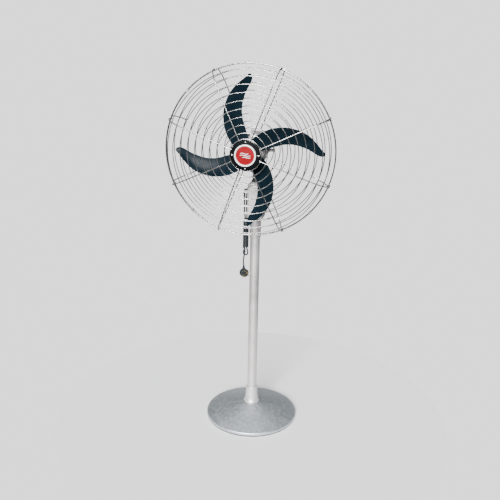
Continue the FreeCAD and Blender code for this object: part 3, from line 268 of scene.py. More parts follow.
# Height lock. A five-lobed black hand knob behind the collar, moulded round the head of its clamping
# screw, with a shallow dished cap.
def star_knob(radius, length, lobes=5):
    """A lobed hand knob. It stands on its narrow neck at Z = 0 and opens out upwards."""
    steps = 100
    rows = [(0.0, 0.55, 0.0), (0.18, 0.55, 0.0), (0.26, 0.66, 0.35), (0.30, 0.90, 0.9), (0.36, 0.985, 1.0),
            (0.84, 1.0, 1.0), (0.93, 0.95, 0.95), (0.985, 0.84, 0.8), (1.0, 0.62, 0.35), (0.97, 0.52, 0.1),
            (0.94, 0.3, 0.0)]
    mesh = bmesh.new()
    rings = []
    for up, share, depth in rows:
        ring = []
        for k in range(steps):
            turn = math.tau * k / steps
            wave = 0.5 + 0.5 * math.cos(lobes * (turn - math.radians(90)))
            scoop = 1.0 - 0.26 * depth * wave ** 2.2
            reach = radius * share * scoop
            ring.append(mesh.verts.new((reach * math.cos(turn), reach * math.sin(turn), up * length)))
        rings.append(ring)
    stack(mesh, rings)
    return finished(mesh, "knob")


black_moulding = enamel("black moulding", (0.018, 0.018, 0.02), (0.024, 0.024, 0.026), 0.46, mottle=60.0,
                        peel=1800.0, peel_depth=0.00006)
knob_low, knob_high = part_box("height_lock_knob")
lock_low, lock_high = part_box("height_lock_screw")
knob_z, knob_rad = (lock_low.z + lock_high.z) / 2, knob_high.x
fit("lock_knob", star_knob(knob_rad, knob_high.y - knob_low.y), "lock_clamp", black_moulding,
    ["height_lock_knob"], edge=0, at=Matrix.Translation((0, knob_low.y, knob_z)) @ aim_back, sharp=50.0)
coat("height_lock_screw", zinc)

# Regulator housing. A light silver casting that turns on the top of the inner tube: a rounded box that
# closes to a small round seat for the tilt joint, with a flat cover screwed on behind.
house_low, house_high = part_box("neck_housing")
half_wide = house_high.x
house_front, house_back, corner = -house_low.y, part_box("housing_cover")[0].y, 0.012
bell = [(0.050, 0.036), (0.042, 0.026), (0.033, 0.012), (0.022, 0.0)]


def box_reach(turn):
    """How far the rounded box reaches from the pole's axis in one direction."""
    deep, middle = (house_front + house_back) / 2, (house_back - house_front) / 2
    step = Vector((math.cos(turn), math.sin(turn)))
    low, high = 0.0, 0.12
    halvings = 40
    for _ in range(halvings):
        far = (low + high) / 2
        x, y = abs(step.x * far), abs(step.y * far - middle)
        inner = Vector((max(x - (half_wide - corner), 0), max(y - (deep - corner), 0)))
        if x < half_wide and y < deep and inner.length < corner:
            low = far
        else:
            high = far
    return low


def bell_reach(z):
    """The radius of the rounded-off top at a height; it opens out steeply below its last step."""
    below = house_high.z - z
    flare = 3.0
    if below >= bell[0][1]:
        return bell[0][0] + (below - bell[0][1]) * flare
    for (wide, a), (narrow, b) in zip(bell, bell[1:]):
        if below >= b:
            return narrow + (wide - narrow) * (below - b) / (a - b)
    return bell[-1][0]


house_rows = [house_low.z + d for d in (0.0, 0.0008, 0.0025, 0.02, 0.06, 0.10)]
house_rows += [house_high.z - d for d in (0.044, 0.038, 0.033, 0.029, 0.026, 0.022, 0.018, 0.015, 0.012,
                                          0.009, 0.006, 0.003, 0.0012, 0.0)]
foot_tuck = (0.0022, 0.0007)
steps = 180
reach = [box_reach(math.tau * k / steps) for k in range(steps)]
casting = bmesh.new()
rings = []
for row, z in enumerate(house_rows):
    tuck = foot_tuck[row] if row < len(foot_tuck) else 0.0
    ring = []
    for k in range(steps):
        turn = math.tau * k / steps
        far = min(reach[k], bell_reach(z)) - tuck
        if z > house_high.z - 0.001:
            far -= 0.0006
        ring.append(casting.verts.new((far * math.cos(turn), far * math.sin(turn), z)))
    rings.append(ring)
stack(casting, rings)
fit("housing", finished(casting, "regulator housing"), "swivel", cast_silver, ["neck_housing"],
    edge=0, sharp=48.0)


def rounded_plate(wide, high, thick, corner_rad, steps_each=8):
    """A flat plate in X and Y with round corners, from Z = 0 to its thickness."""
    mesh = bmesh.new()
    outline = []
    for k, (sx, sy) in enumerate(((1, 1), (-1, 1), (-1, -1), (1, -1))):
        for i in range(steps_each + 1):
            turn = math.radians(90 * k + 90 * i / steps_each)
            outline.append((sx * (wide / 2 - corner_rad) + corner_rad * math.cos(turn),
                            sy * (high / 2 - corner_rad) + corner_rad * math.sin(turn)))
    stack(mesh, [[mesh.verts.new((x, y, up)) for x, y in outline] for up in (0, thick)])
    return finished(mesh, "plate")


cover_low, cover_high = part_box("housing_cover")
cover_mid, cover_size = (cover_low + cover_high) / 2, cover_high - cover_low
fit("cover", rounded_plate(cover_size.x, cover_size.z, cover_size.y, 0.006),
    "swivel", cast_silver, ["housing_cover"], edge=0.0007,
    at=Matrix.Translation((0, cover_low.y, cover_mid.z)) @ aim_back)
heads = []
for side in (-1, 1):
    for up in (-1, 1):
        spot = (side * (cover_high.x - 0.005), cover_high.y, cover_mid.z + up * (cover_size.z / 2 - 0.006))
        heads.append((pan_head(0.0072, 0.0022), Matrix.Translation(spot) @ aim_back))
fit("cover_screw_heads", gather(heads), "swivel", zinc, ["cover_screws"], edge=0)
coat("swivel_screw", zinc)
coat("regulator_switch", black_moulding)

# Speed dial. A black moulded knob on the cover, fluted for grip, with a white pointer line let into
# its skirt.
dial_low, dial_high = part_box("regulator_knob")
dial_rad = dial_high.x
dial_face = cover_high.y + 0.0006
dial_z = (dial_low.z + dial_high.z) / 2
dial_long = dial_high.y - dial_face
dial = bmesh.new()
steps, flutes = 144, 18
rings = []
for up, share, depth in ((0.0, 0.97, 0), (0.08, 1.0, 0), (0.36, 0.985, 0), (0.43, 0.93, 0),
                         (0.47, 0.76, 0.3), (0.52, 0.73, 1.0), (0.90, 0.70, 1.0), (0.97, 0.67, 0.8),
                         (1.0, 0.60, 0.2), (0.985, 0.5, 0)):
    ring = []
    for k in range(steps):
        turn = math.tau * k / steps
        flute = 1.0 - 0.055 * depth * (0.5 + 0.5 * math.cos(flutes * turn)) ** 2
        far = dial_rad * share * flute
        ring.append(dial.verts.new((far * math.cos(turn), far * math.sin(turn), up * dial_long)))
    rings.append(ring)
stack(dial, rings)
dial_place = Matrix.Translation((0, dial_face, dial_z)) @ aim_back
fit("dial", finished(dial, "dial"), "speed_dial", black_moulding, ["regulator_knob"], edge=0,
    at=dial_place, sharp=40.0)
white_plastic = enamel("white plastic", (0.84, 0.82, 0.80), (0.80, 0.78, 0.76), 0.25, mottle=30.0, peel=600.0,
                       peel_depth=0.00003, varnish=0.2)
fit("dial_pointer", rounded_plate(0.0016, 0.010, 0.0006, 0.0007), "speed_dial", white_plastic,
    edge=0, at=dial_place @ Matrix.Translation((0, dial_rad * 0.40, dial_long - 0.0003)))

# Tilt joint. A dark steel fork on the housing and a cast tongue under the motor, drawn together by a
# bolt with a lobed hand knob on the right.
dark_paint = enamel("dark grey paint", (0.045, 0.05, 0.055), (0.06, 0.065, 0.07), 0.4, mottle=20.0,
                    peel=800.0)
coat("tilt_fork", dark_paint)
coat("tilt_washers", zinc)
coat("tilt_bolt", zinc)
tilt_low, tilt_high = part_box("tilt_knob")
bolt_low, bolt_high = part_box("tilt_bolt")
pivot_z = (bolt_low.z + bolt_high.z) / 2
fit("tilt_hand_knob", star_knob(knob_rad, tilt_high.x - tilt_low.x), "tilt_clamp", black_moulding,
    ["tilt_knob"], edge=0, sharp=50.0,
    at=Matrix.Translation((tilt_low.x, 0, pivot_z)) @ aim_right)
coat("tilt_lug", cast_silver)

# Motor. A closed induction motor in a spun silver shell between two die-cast end shields, with the
# shaft running forward through the guard's middle. Laminations and copper windings fill its inside.
shell_low, shell_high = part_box("motor_shell")
head_z, motor_rad = (shell_low.z + shell_high.z) / 2, shell_high.x
head_axis = Matrix.Translation((0, 0, head_z)) @ aim_front   # own Z counts forward from the pole's axis
shell_rear, shell_front, shell_bore, bead_rad = -shell_high.y, -shell_low.y, 0.052, motor_rad - 0.0012
fit("motor_body", lathe([
    (shell_bore, shell_rear), (motor_rad - 0.001, shell_rear), (motor_rad, shell_rear + 0.001),
    (motor_rad, shell_rear + 0.012), (bead_rad, shell_rear + 0.0135), (bead_rad, shell_rear + 0.017),
    (motor_rad, shell_rear + 0.0185), (motor_rad, shell_front - 0.0185), (bead_rad, shell_front - 0.017),
    (bead_rad, shell_front - 0.0135), (motor_rad, shell_front - 0.012), (motor_rad, shell_front - 0.001),
    (motor_rad - 0.001, shell_front), (shell_bore, shell_front)]),
    "head", silver, ["motor_shell"], edge=0.0004, at=head_axis, sharp=25.0)
shield_low, shield_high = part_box("front_end_shield")
flange_wide = shield_high.x
nose_end, flange_end, nose_rad = -shield_low.y, 0.120, 0.054
fit("front_shield", lathe([
    (shell_bore, shell_front), (flange_wide, shell_front), (flange_wide, flange_end), (nose_rad, flange_end),
    (nose_rad, nose_end - 0.014), (nose_rad - 0.0012, nose_end - 0.009),
    (nose_rad - 0.0045, nose_end - 0.0042), (nose_rad - 0.009, nose_end - 0.0012),
    (nose_rad - 0.014, nose_end), (0.019, nose_end), (0.017, nose_end - 0.0015),
    (0.010, nose_end - 0.0015), (0.009, nose_end - 0.0025),
    (0.009, nose_end - 0.010), (0.048, nose_end - 0.014), (0.048, flange_end - 0.001),
    (shell_bore, flange_end - 0.001)]),
    "head", cast_silver, ["front_end_shield"], edge=0.0005, at=head_axis, sharp=25.0)
back_end = -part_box("rear_end_shield")[1].y
fit("rear_shield", lathe([
    (0.0, back_end + 0.006), (0.0, back_end + 0.0012), (0.011, back_end + 0.0012), (0.012, back_end),
    (0.030, back_end), (motor_rad - 0.016, back_end + 0.0003), (motor_rad - 0.011, back_end + 0.0018),
    (motor_rad - 0.006, back_end + 0.005), (motor_rad - 0.0022, back_end + 0.0095),
    (motor_rad - 0.0004, back_end + 0.014), (motor_rad, shell_rear - 0.004), (motor_rad, shell_rear),
    (shell_bore, shell_rear), (0.046, shell_rear - 0.008), (0.020, back_end + 0.006)]),
    "head", cast_silver, ["rear_end_shield"], edge=0.0005, at=head_axis, sharp=25.0)
heads = []
for k in range(4):
    turned = Matrix.Rotation(math.radians(45 + 90 * k), 4, "Z")
    behind = turned @ Matrix.Translation((motor_rad - 0.003, 0, shell_rear - 0.0155))
    heads.append((pan_head(0.0062, 0.0026), behind @ Matrix.Rotation(math.pi, 4, "X")))
    ahead = turned @ Matrix.Translation((nose_rad + 0.003, 0, flange_end + 0.003))
    heads.append((pan_head(0.0056, 0.0020), ahead))
fit("motor_screw_heads", gather(heads), "head", zinc, ["motor_screws"], edge=0, at=head_axis)
lamination = enamel("stacked laminations", (0.20, 0.20, 0.21), (0.14, 0.14, 0.15), 0.5, mottle=200.0,
                    metal=0.8)
copper = enamel("enamelled copper", (0.42, 0.15, 0.07), (0.33, 0.11, 0.05), 0.35, mottle=260.0, peel=1400.0,
                peel_depth=0.0003, metal=0.7, varnish=0.4)
for node in ("stator_core", "rotor_core"):
    coat(node, lamination)
coat("stator_windings", copper)
for node in ("motor_bearings", "motor_shaft"):
    coat(node, zinc)

# Guard. Two shallow domes of chromed steel wire, each of rings with eight radial wires welded outside
# them. The front one's radial wires hook round both rims; four spring clips pinch the rims between.
chrome = enamel("chrome wire", (0.40, 0.388, 0.385), (0.28, 0.27, 0.268), 0.24, mottle=60.0, peel=1500.0,
                peel_depth=0.00002, metal=1.0)
ring_wire, spoke_wire, rim_wire, bite = 0.0035, 0.0045, 0.0055, 0.0003
rim_ahead = -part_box("front_rim")[1].y
shoulder, guard_rad = 0.2825, 0.3375
lift = (ring_wire + spoke_wire) / 2 - bite
spokes, spoke_turn, rear_turn = 8, 24.8, 23.2


def guard_half(depth, dome):
    """One dome in section: its flat arc, then the shoulder arc that rolls over to the rim."""
    slope = math.asin(shoulder / dome)
    edge = depth - dome * (1 - math.cos(slope))
    across = guard_rad - shoulder
    roll = (across ** 2 + edge ** 2) / (2 * (edge * math.cos(slope) - across * math.sin(slope)))
    return {"depth": depth, "dome": dome, "slope": slope, "roll": roll,
            "middle": (shoulder - roll * math.sin(slope), edge - roll * math.cos(slope))}


def rise(half, radius):
    """How far the ring wires stand from the rim's plane at a radius."""
    if radius <= shoulder:
        return half["depth"] - half["dome"] + math.sqrt(half["dome"] ** 2 - radius ** 2)
    return half["middle"][1] + math.sqrt(half["roll"] ** 2 - (radius - half["middle"][0]) ** 2)


def bent_wire(name, runs, thick, closed, node):
    """Chromed round wires on the head, each through its own points; closed ones are hoops."""
    curve = bpy.data.curves.new(name, "CURVE")
    curve.dimensions = "3D"
    curve.bevel_depth = thick / 2
    curve.bevel_resolution = 4
    curve.use_fill_caps = True
    curve.materials.append(chrome)
    for run in runs:
        wire = curve.splines.new("POLY")
        wire.points.add(len(run) - 1)
        for point, spot in zip(wire.points, run):
            point.co = (*(head_axis @ Vector(spot)), 1)
        wire.use_cyclic_u = closed
        wire.use_smooth = True
    piece = bpy.data.objects.new(name, curve)
    bpy.context.scene.collection.objects.link(piece)
    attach(piece, "head")
    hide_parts(node)


def spoke_line(half, side, start, last, hooked):
    """A radial wire's line, in section, from its inner end out over the shoulder."""
    line = []
    arc_steps, hook_steps = 24, 12
    dome, slope = half["dome"] + lift, half["slope"]
    first = math.asin(start / dome)
    for i in range(arc_steps + 1):
        angle = first + (slope - first) * i / arc_steps
        line.append((dome * math.sin(angle), half["depth"] - half["dome"] + dome * math.cos(angle)))
    roll = half["roll"] + lift
    for i in range(1, arc_steps + 1):
        angle = slope + (last - slope) * i / arc_steps
        line.append((half["middle"][0] + roll * math.sin(angle), half["middle"][1] + roll * math.cos(angle)))
    if hooked:
        bend = rim_wire / 2 + spoke_wire / 2 + 0.0004
        reach, low = line[-1][0], -rim_wire - 0.0015
        for i in range(hook_steps + 1):
            angle = math.radians(90 * i / hook_steps)
            line.append((reach - bend * (1 - math.cos(angle)), low - bend * math.sin(angle)))
        line.append((reach - bend - 0.003, low - bend))
    return [(r, side * d) for r, d in line]


def spoke_set(line, turn):
    """The same radial wire, eight times round the guard."""
    runs = []
    for k in range(spokes):
        angle = math.radians(turn + 360 * k / spokes)
        runs.append([(r * math.cos(angle), r * math.sin(angle), rim_ahead + d) for r, d in line])
    return runs


rear_half = guard_half(depth=0.066, dome=5.9)
front_half = guard_half(depth=0.081, dome=2.265)
ring_radii = [0.0835 + 0.208 * k / 7 for k in range(8)] + [0.3165]
rim_rad = guard_rad - (rim_wire - ring_wire) / 2
rear_radii, front_radii = [0.087] + ring_radii[1:], [0.061] + ring_radii
ring_steps, rim_steps = 200, 256
bent_wire("rear_rings", [circle(r, rim_ahead - rise(rear_half, r), ring_steps) for r in rear_radii],
          ring_wire, True, "rear_guard_rings")
rear_spoke = spoke_line(rear_half, side=-1, start=0.083, last=math.radians(84), hooked=False)
bent_wire("rear_spokes", spoke_set(rear_spoke, rear_turn), spoke_wire, False, "rear_guard_spokes")
bent_wire("rear_hoop", [circle(rim_rad, rim_ahead - rim_wire / 2, rim_steps)], rim_wire, True, "rear_rim")
bent_wire("front_rings", [circle(r, rim_ahead + rise(front_half, r), ring_steps) for r in front_radii],
          ring_wire, True, "front_guard_rings")
front_spoke = spoke_line(front_half, side=1, start=0.044, last=math.radians(90), hooked=True)
bent_wire("front_spokes", spoke_set(front_spoke, spoke_turn), spoke_wire, False, "front_guard_spokes")
bent_wire("front_hoop", [circle(rim_rad, rim_ahead + rim_wire / 2, rim_steps)], rim_wire, True, "front_rim")
coat("guard_clips", zinc)
coat("guard_mount_plate", zinc)

# Blades. Four sickle-shaped pressings in blue-black enamel, each riveted to an arm of the hub, which
# a nut holds on the shaft. They scoop clockwise, seen from the front.
blade_black = enamel("blue-black enamel", (0.003, 0.008, 0.012), (0.005, 0.011, 0.016), 0.24, mottle=22.0,
                     peel=650.0, peel_depth=0.00003, shine=0.03)
sweep, sheet = 0.2975, 0.0018
root_pitch, tip_pitch, camber = 24.0, 15.0, 0.05
stations = [
    (0.155, 6.0, 80.0), (0.25, 10.5, 65.0), (0.336, 12.5, 56.0), (0.437, 13.5, 47.5), (0.524, 12.5, 40.5),
    (0.605, 10.5, 34.5), (0.689, 7.5, 28.0), (0.773, 4.5, 21.5), (0.84, 1.7, 15.5), (0.908, -0.7, 8.7),
    (0.958, -1.2, 4.0), (0.988, -0.6, 2.2), (1.0, 0.2, 1.2)]


def edges_at(share):
    """The leading and trailing edge angles at a share of the sweep, smooth through the stations."""
    last = len(stations) - 1
    for i in range(last):
        a, b = stations[i], stations[i + 1]
        if share <= b[0] or i == last - 1:
            before, after = stations[max(i - 1, 0)], stations[min(i + 2, last)]
            gap = b[0] - a[0]
            t = (share - a[0]) / gap
            angles = []
            for c in (1, 2):
                into = (b[c] - before[c]) / (b[0] - before[0]) * gap
                out = (after[c] - a[c]) / (after[0] - a[0]) * gap
                angles.append((2 * t ** 3 - 3 * t ** 2 + 1) * a[c] + (t ** 3 - 2 * t ** 2 + t) * into
                              + (3 * t ** 2 - 2 * t ** 3) * b[c] + (t ** 3 - t ** 2) * out)
            return angles


def blade_point(share, across, offset):
    """A point of the blade: out along the sweep, across from edge to edge, and off its middle skin."""
    radius = sweep * share
    lead, trail = [math.radians(a) for a in edges_at(share)]
    span = trail - lead
    pitch = math.radians(root_pitch + (tip_pitch - root_pitch) * share)
    wide = radius * span
    ahead = across * wide * math.tan(pitch) - camber * wide * (1 - 4 * across ** 2) + offset
    angle = (lead + trail) / 2 + across * span
    return (radius * math.cos(angle), radius * math.sin(angle), rim_ahead + ahead)


across_steps, out_steps, crowding = 24, 84, 1.25
for number in range(4):
    pressing = bmesh.new()
    loops = []
    for i in range(out_steps + 1):
        share = stations[0][0] + (1 - stations[0][0]) * (1 - (1 - i / out_steps) ** crowding)
        front_skin = [blade_point(share, -0.5 + j / across_steps, sheet / 2) for j in range(across_steps + 1)]
        back_skin = [blade_point(share, 0.5 - j / across_steps, -sheet / 2) for j in range(across_steps + 1)]
        loops.append([pressing.verts.new(p) for p in front_skin + back_skin])
    count = len(loops[0])
    walls(pressing, loops)
    for ends in (loops[0], loops[-1]):
        for j in range(across_steps):
            pressing.faces.new((ends[j], ends[j + 1], ends[count - 2 - j], ends[count - 1 - j]))
    bmesh.ops.recalc_face_normals(pressing, faces=pressing.faces)
    fit("blade_%s" % "abcd"[number], finished(pressing, "blade"), "rotor", blade_black,
        ["blade_%d" % (number + 1)], edge=0.0005, sharp=50.0,
        at=head_axis @ Matrix.Rotation(math.radians(90 * number), 4, "Z"))
coat("blade_hub", blade_black)
coat("blade_rivets", blade_black)
coat("hub_nut", zinc)

# Centre plate and badge. A black enamelled disc clamps the inner ends of the front wires against a
# ring behind it, with four bright screws. A raised white ring frames a red disc with three plain
# air strokes.
plate_low, plate_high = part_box("centre_plate")
plate_rad, plate_front, plate_back = plate_high.x, -plate_low.y, -plate_high.y
plate_black = enamel("black plate enamel", (0.0015, 0.0022, 0.0028), (0.0025, 0.0032, 0.004), 0.3,
                     mottle=40.0, peel=700.0, shine=0.08)
fit("plate", lathe([
    (0.0, plate_back), (plate_rad - 0.0012, plate_back), (plate_rad - 0.0003, plate_back + 0.0002),
    (plate_rad, plate_back + 0.0007), (plate_rad - 0.0004, plate_front - 0.0002),
    (plate_rad - 0.0016, plate_front), (0.0, plate_front)]),
    "head", plate_black, ["centre_plate"], edge=0, at=head_axis, sharp=50.0)
coat("plate_clamp_ring", zinc)
heads = []
for k in range(4):
    spot = Matrix.Rotation(math.tau * k / 4, 4, "Z") @ Matrix.Translation((0.051, 0, plate_front))
    heads.append((pan_head(0.0066, 0.0022), spot @ Matrix.Rotation(math.radians(20 + 31 * k), 4, "Z")))
fit("plate_screw_heads", gather(heads), "head", zinc, ["plate_screws"], edge=0, at=head_axis)
badge_low, badge_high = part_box("badge_ring")
disc_low, disc_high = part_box("badge_disc")
badge_rad, badge_front, badge_bore, disc_front = badge_high.x, -badge_low.y, disc_high.x, -disc_low.y
fit("badge_frame", lathe([
    (badge_bore, plate_front), (badge_rad, plate_front), (badge_rad, badge_front - 0.0045),
    (badge_rad - 0.0005, badge_front - 0.0022), (badge_rad - 0.0016, badge_front - 0.0007),
    (badge_rad - 0.0031, badge_front), (badge_bore + 0.0022, badge_front - 0.0004),
    (badge_bore + 0.0007, badge_front - 0.0016), (badge_bore, badge_front - 0.0042)]),
    "head", white_plastic, ["badge_ring"], edge=0, at=head_axis, sharp=60.0)
badge_red = enamel("red lacquer", (0.21, 0.0035, 0.008), (0.18, 0.003, 0.0065), 0.28, mottle=35.0, peel=500.0,
                   shine=0.2)
fit("badge_face", lathe([(0.0, plate_front), (badge_bore, plate_front), (badge_bore, plate_front + 0.0016),
                         (0.026, plate_front + 0.0020), (0.014, plate_front + 0.0024), (0.0, disc_front)]),
    "head", badge_red, ["badge_disc"], edge=0, at=head_axis, sharp=60.0)
stroke_curve = bpy.data.curves.new("air_strokes", "CURVE")
stroke_curve.dimensions = "3D"
stroke_curve.bevel_depth = 0.0011
stroke_curve.bevel_resolution = 3
stroke_curve.use_fill_caps = True
stroke_curve.materials.append(white_plastic)
stroke_steps, stroke_gap, stroke_wave = 24, 0.0075, 0.0016
for row, (start, long) in enumerate(((-0.018, 0.030), (-0.020, 0.040), (-0.010, 0.030))):
    mark = stroke_curve.splines.new("POLY")
    mark.points.add(stroke_steps)
    for i, point in enumerate(mark.points):
        t = i / stroke_steps
        wave = stroke_wave * math.sin(math.tau * t)
        spot = Vector((start + long * t, stroke_gap * (1 - row) + wave, disc_front - 0.0005))
        point.co = (*(head_axis @ spot), 1)
air_strokes = bpy.data.objects.new("air_strokes", stroke_curve)
bpy.context.scene.collection.objects.link(air_strokes)
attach(air_strokes, "head")

# Power cord. Black round flexible cord, 6.5 mm thick. It leaves a moulded elbow in the housing's left
# wall and is hung up beside the pole: doubled on itself and wound round its own two strands, with a
# small eye below, a tall loop above and a short tail that ends in the plug.
cord_thick = 0.0065
hank_low, hank_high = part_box("cord_hank")
hank_x, hank_y = (hank_low.x + hank_high.x) / 2, (hank_low.y + hank_high.y) / 2
wall_x = -half_wide
exit_z, lead_x = 1.077, -0.051
sleeve_end = exit_z - 0.020
loop_low, loop_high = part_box("cord_loop")
loop_x, loop_top = (loop_low.x + loop_high.x) / 2 - 0.0002, loop_high.z - cord_thick / 2
strand = 0.0033
wrap_rad, wrap_top, wrap_low, wrap_start, wraps = 0.0099, 0.9455, 0.8165, 71.0, 18.55
route = [
    (lead_x, hank_y, sleeve_end), (lead_x, hank_y, sleeve_end - 0.02),
    (lead_x + 0.0002, hank_y, sleeve_end - 0.05), (lead_x + 0.0008, hank_y - 0.0008, sleeve_end - 0.075),
    (lead_x + 0.0030, hank_y - 0.0003, sleeve_end - 0.095), (hank_x - strand, hank_y, hank_high.z - 0.008),
    (hank_x - strand, hank_y, 0.925), (hank_x - strand, hank_y, 0.880), (hank_x - strand, hank_y, 0.835),
    (hank_x - strand - 0.0008, hank_y, 0.816), (hank_x - 0.0085, hank_y, 0.802),
    (hank_x - 0.0100, hank_y, 0.7900), (hank_x - 0.0060, hank_y, 0.7835), (hank_x + 0.0060, hank_y, 0.7835),
    (hank_x + 0.0100, hank_y, 0.7900), (hank_x + 0.0085, hank_y, 0.802),
    (hank_x + strand + 0.0008, hank_y, 0.816), (hank_x + strand, hank_y, 0.835),
    (hank_x + strand, hank_y, 0.880), (hank_x + strand, hank_y, 0.925),
    (hank_x + strand, hank_y - 0.0005, hank_high.z - 0.004), (loop_x, hank_y - 0.0055, hank_high.z + 0.012),
    (loop_x, hank_y - 0.013, hank_high.z + 0.042), (loop_x, hank_y - 0.019, loop_top - 0.030),
    (loop_x, hank_y - 0.017, loop_top), (loop_x, hank_y + 0.017, loop_top),
    (loop_x, hank_y + 0.019, loop_top - 0.030), (loop_x, hank_y + 0.0150, hank_high.z + 0.042),
    (loop_x + 0.0004, hank_y + 0.0120, hank_high.z + 0.012)]
turn_points = 16
wrap_reach = wrap_rad / math.cos(math.pi / turn_points)
for k in range(int(wraps * turn_points) + 1):
    turn = math.radians(wrap_start) + math.tau * k / turn_points
    wobbly = wrap_reach + 0.00025 * math.sin(k * 0.61)
    route.append((hank_x + wobbly * math.cos(turn), hank_y + wobbly * math.sin(turn),
                  wrap_top - (wrap_top - wrap_low) * k / (wraps * turn_points)))
plug_at, plug_top = Vector((-0.046, -0.014, 0.706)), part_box("plug_body")[1].z
route += [
    (hank_x - 0.0010, hank_y - 0.0108, 0.8080), (hank_x - 0.0035, hank_y - 0.0095, 0.790),
    (hank_x - 0.0062, hank_y - 0.0120, 0.768), (hank_x - 0.0062, hank_y - 0.0160, 0.750),
    (plug_at.x, plug_at.y, plug_top + 0.010), (plug_at.x, plug_at.y, plug_top)]
cord_black = enamel("black flex", (0.012, 0.015, 0.017), (0.018, 0.022, 0.024), 0.40, mottle=50.0,
                    peel=1600.0, peel_depth=0.00005, shine=0.3)
cord_curve = bpy.data.curves.new("power_cord", "CURVE")
cord_curve.dimensions = "3D"
cord_curve.bevel_depth = cord_thick / 2
cord_curve.bevel_resolution = 5
cord_curve.resolution_u = 6
cord_curve.use_fill_caps = True
cord_curve.materials.append(cord_black)
line = cord_curve.splines.new("NURBS")
line.points.add(len(route) - 1)
for point, spot in zip(line.points, route):
    point.co = (*spot, 1)
line.order_u = 3
line.use_endpoint_u = True
cord = bpy.data.objects.new("power_cord", cord_curve)
bpy.context.scene.collection.objects.link(cord)
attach(cord, "swivel")
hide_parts("power_lead", "cord_loop", "cord_hank", "cord_eye", "cord_tail")

# Elbow gland. A hexagon nut screwed in the wall and a moulded right-angle sleeve that tapers down
# the cord in soft ribs.
sleeve = bmesh.new()
path = []
bend, stub, sleeve_long, root_x = 0.0085, 0.0075, 0.034, wall_x + 0.0005
stub_steps, bend_steps, drop_steps = 4, 12, 32
for i in range(stub_steps + 1):
    path.append(Vector((root_x - stub * i / stub_steps, 0, 0)))
for i in range(1, bend_steps + 1):
    angle = math.radians(90 * i / bend_steps)
    path.append(Vector((root_x - stub - bend * math.sin(angle), 0, -bend * (1 - math.cos(angle)))))
drop = len(path)
for i in range(1, drop_steps + 1):
    path.append(Vector((lead_x, 0, -bend - sleeve_long * i / drop_steps)))
rings = []
around, sleeve_rad, taper, rib_deep = 24, 0.0050, 0.0013, 0.00045
for i, spot in enumerate(path):
    ahead = (path[min(i + 1, len(path) - 1)] - path[max(i - 1, 0)]).normalized()
    aside = Vector((0, 1, 0))
    up = ahead.cross(aside)
    wide = sleeve_rad
    if i >= drop:
        along = (i - drop) / (drop_steps - 1)
        wide -= taper * along + (rib_deep if i % 4 in (2, 3) else 0.0)
    centre = Vector((0, hank_y, exit_z)) + spot
    rings.append([sleeve.verts.new(centre + x * aside + y * up) for x, y, _ in circle(wide, 0, around)])
stack(sleeve, rings)
bmesh.ops.recalc_face_normals(sleeve, faces=sleeve.faces)
hexagon = lathe([(0.0, 0.0), (0.009, 0.0), (0.009, 0.0034), (0.0082, 0.0042), (0.0, 0.0042)], steps=6)
aim_left = Matrix.Rotation(math.radians(-90), 4, "Y")
gland = gather([(finished(sleeve, "elbow sleeve"), Matrix.Identity(4)),
                (hexagon, Matrix.Translation((wall_x, hank_y, exit_z)) @ aim_left)])
gland_piece = fit("elbow_gland", gland, "swivel", black_moulding, ["cord_gland"],
                  edge=0.0003, sharp=40.0)

# Plug. A round moulded three-pin mains plug: a flat pin face, finger grooves round its skirt, a
# domed back and a ribbed neck where the cord goes in. The pins are bright brass.
plug_turn = Matrix.Rotation(math.radians(-50), 4, "Z")
pins_out = plug_turn @ Vector((1, 0, 0))
moulding = bmesh.new()
steps, grooves = 120, 30
rings = []
for up, radius, groove in ((0.0, 0.0165, 0), (0.0, 0.0178, 0), (0.0006, 0.0187, 0), (0.0016, 0.0190, 0),
                           (0.0045, 0.0190, 0), (0.0055, 0.0188, 1), (0.0130, 0.0188, 1), (0.0140, 0.0190, 0),
                           (0.0165, 0.0188, 0), (0.0195, 0.0180, 0), (0.0225, 0.0164, 0), (0.0250, 0.0143, 0),
                           (0.0272, 0.0112, 0), (0.0285, 0.0080, 0), (0.0290, 0.0040, 0)):
    ring = []
    for k in range(steps):
        turn = math.tau * k / steps
        far = radius - 0.0006 * groove * (0.5 + 0.5 * math.cos(grooves * turn))
        ring.append(moulding.verts.new((far * math.cos(turn), far * math.sin(turn), up)))
    rings.append(ring)
stack(moulding, rings)
neck = [(0.0, 0.0), (0.0076, 0.0)]
for i in range(8):
    z = 0.004 + 0.0024 * i
    wide = 0.0072 - 0.0004 * i
    neck += [(wide, z), (wide, z + 0.0012), (wide - 0.0008, z + 0.0014), (wide - 0.0008, z + 0.0022)]
neck += [(0.0036, 0.0240), (0.0, 0.0240)]
pin_face = plug_at + pins_out * 0.014
plug_place = Matrix.Translation(pin_face) @ plug_turn @ aim_left
plug_whole = gather([(finished(moulding, "plug"), plug_place),
                     (lathe(neck, steps=40), Matrix.Translation((plug_at.x, plug_at.y, plug_top - 0.016)))])
plug = fit("plug", plug_whole, "swivel", cord_black, ["plug_body"], edge=0.0002, sharp=45.0)
brass = enamel("bright brass", (0.80, 0.62, 0.34), (0.70, 0.53, 0.28), 0.22, mottle=120.0, peel=1500.0,
               peel_depth=0.00002, metal=1.0)
prongs = []
for across, up, radius, long in ((-0.0095, -0.007, 0.00255, 0.016), (0.0095, -0.007, 0.00255, 0.016),
                                 (0.0, 0.009, 0.0035, 0.020)):
    shape = [(0.0, 0.0), (radius, 0.0), (radius, long - 0.0016), (radius * 0.86, long - 0.0005),
             (radius * 0.5, long), (0.0, long)]
    spot = pin_face + (plug_turn @ Vector((0, across, 0))) + Vector((0, 0, up))
    prongs.append((lathe(shape, steps=32), Matrix.Translation(spot) @ plug_turn @ aim_right))
pins = fit("pins", gather(prongs), "swivel", brass, ["plug_pins"], edge=0, sharp=40.0)

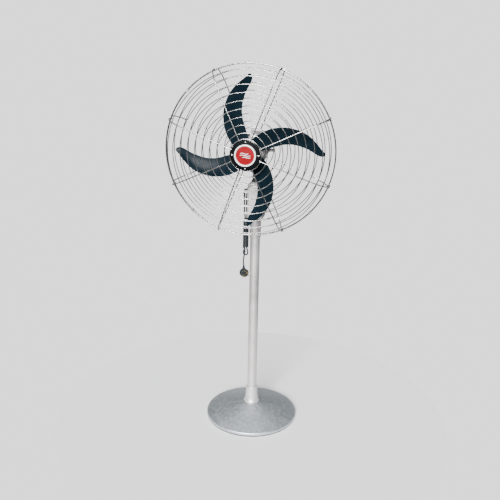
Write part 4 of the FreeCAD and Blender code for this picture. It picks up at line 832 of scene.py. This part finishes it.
# Studio. A round pale floor on a pale backdrop, one broad soft light near the viewer, a weak one
# overhead, and a camera a little above the guard's height, looking slightly down.
floor_rad, floor_steps = 0.9, 180
floor_mesh = bpy.data.meshes.new("floor")
floor_mesh.from_pydata(circle(floor_rad, 0, floor_steps), [], [tuple(range(floor_steps))])
floor = bpy.data.objects.new("floor", floor_mesh)
bpy.context.scene.collection.objects.link(floor)
floor_mesh.materials.append(enamel("pale floor", (0.86, 0.86, 0.86), (0.85, 0.85, 0.85), 0.9, mottle=0.4,
                                   peel=30.0))
world = bpy.data.worlds.new("studio")
world.use_nodes = True
sky = world.node_tree
fill = sky.nodes["Background"]
fill.inputs["Color"].default_value = (0.93, 0.97, 1.0, 1)
fill.inputs["Strength"].default_value = 0.26
backdrop = sky.nodes.new("ShaderNodeBackground")
backdrop.inputs["Color"].default_value = (1, 1, 1, 1)
backdrop.inputs["Strength"].default_value = 1.81
seen = sky.nodes.new("ShaderNodeLightPath")
either = sky.nodes.new("ShaderNodeMixShader")
sky.links.new(seen.outputs["Is Camera Ray"], either.inputs["Fac"])
sky.links.new(fill.outputs["Background"], either.inputs[1])
sky.links.new(backdrop.outputs["Background"], either.inputs[2])
sky.links.new(either.outputs["Shader"], sky.nodes["World Output"].inputs["Surface"])
bpy.context.scene.world = world
for name, power, breadth, aim in (("overhead", 1.0, 70, (0.05, 0.12, -1.0)),
                                  ("front", 11.5, 26, (0.05, 1.0, -0.45))):
    light = bpy.data.lights.new(name, "SUN")
    light.energy = power
    light.angle = math.radians(breadth)
    lamp = bpy.data.objects.new(name, light)
    bpy.context.scene.collection.objects.link(lamp)
    lamp.rotation_mode = "QUATERNION"
    lamp.rotation_quaternion = Vector(aim).to_track_quat("-Z", "Y")
lens = bpy.data.cameras.new("camera")
lens.sensor_width = 36.0
lens.lens = 47.754
camera = bpy.data.objects.new("camera", lens)
bpy.context.scene.collection.objects.link(camera)
eye = Vector((0.4485, -2.739, 1.6915))
swing, look_down, lean = math.radians(9.74), math.radians(17.65), math.radians(1.17)
camera.matrix_world = (Matrix.Translation(eye) @ Matrix.Rotation(swing, 4, "Z")
                       @ Matrix.Rotation(math.pi / 2 - look_down, 4, "X") @ Matrix.Rotation(lean, 4, "Z"))
bpy.context.scene.camera = camera
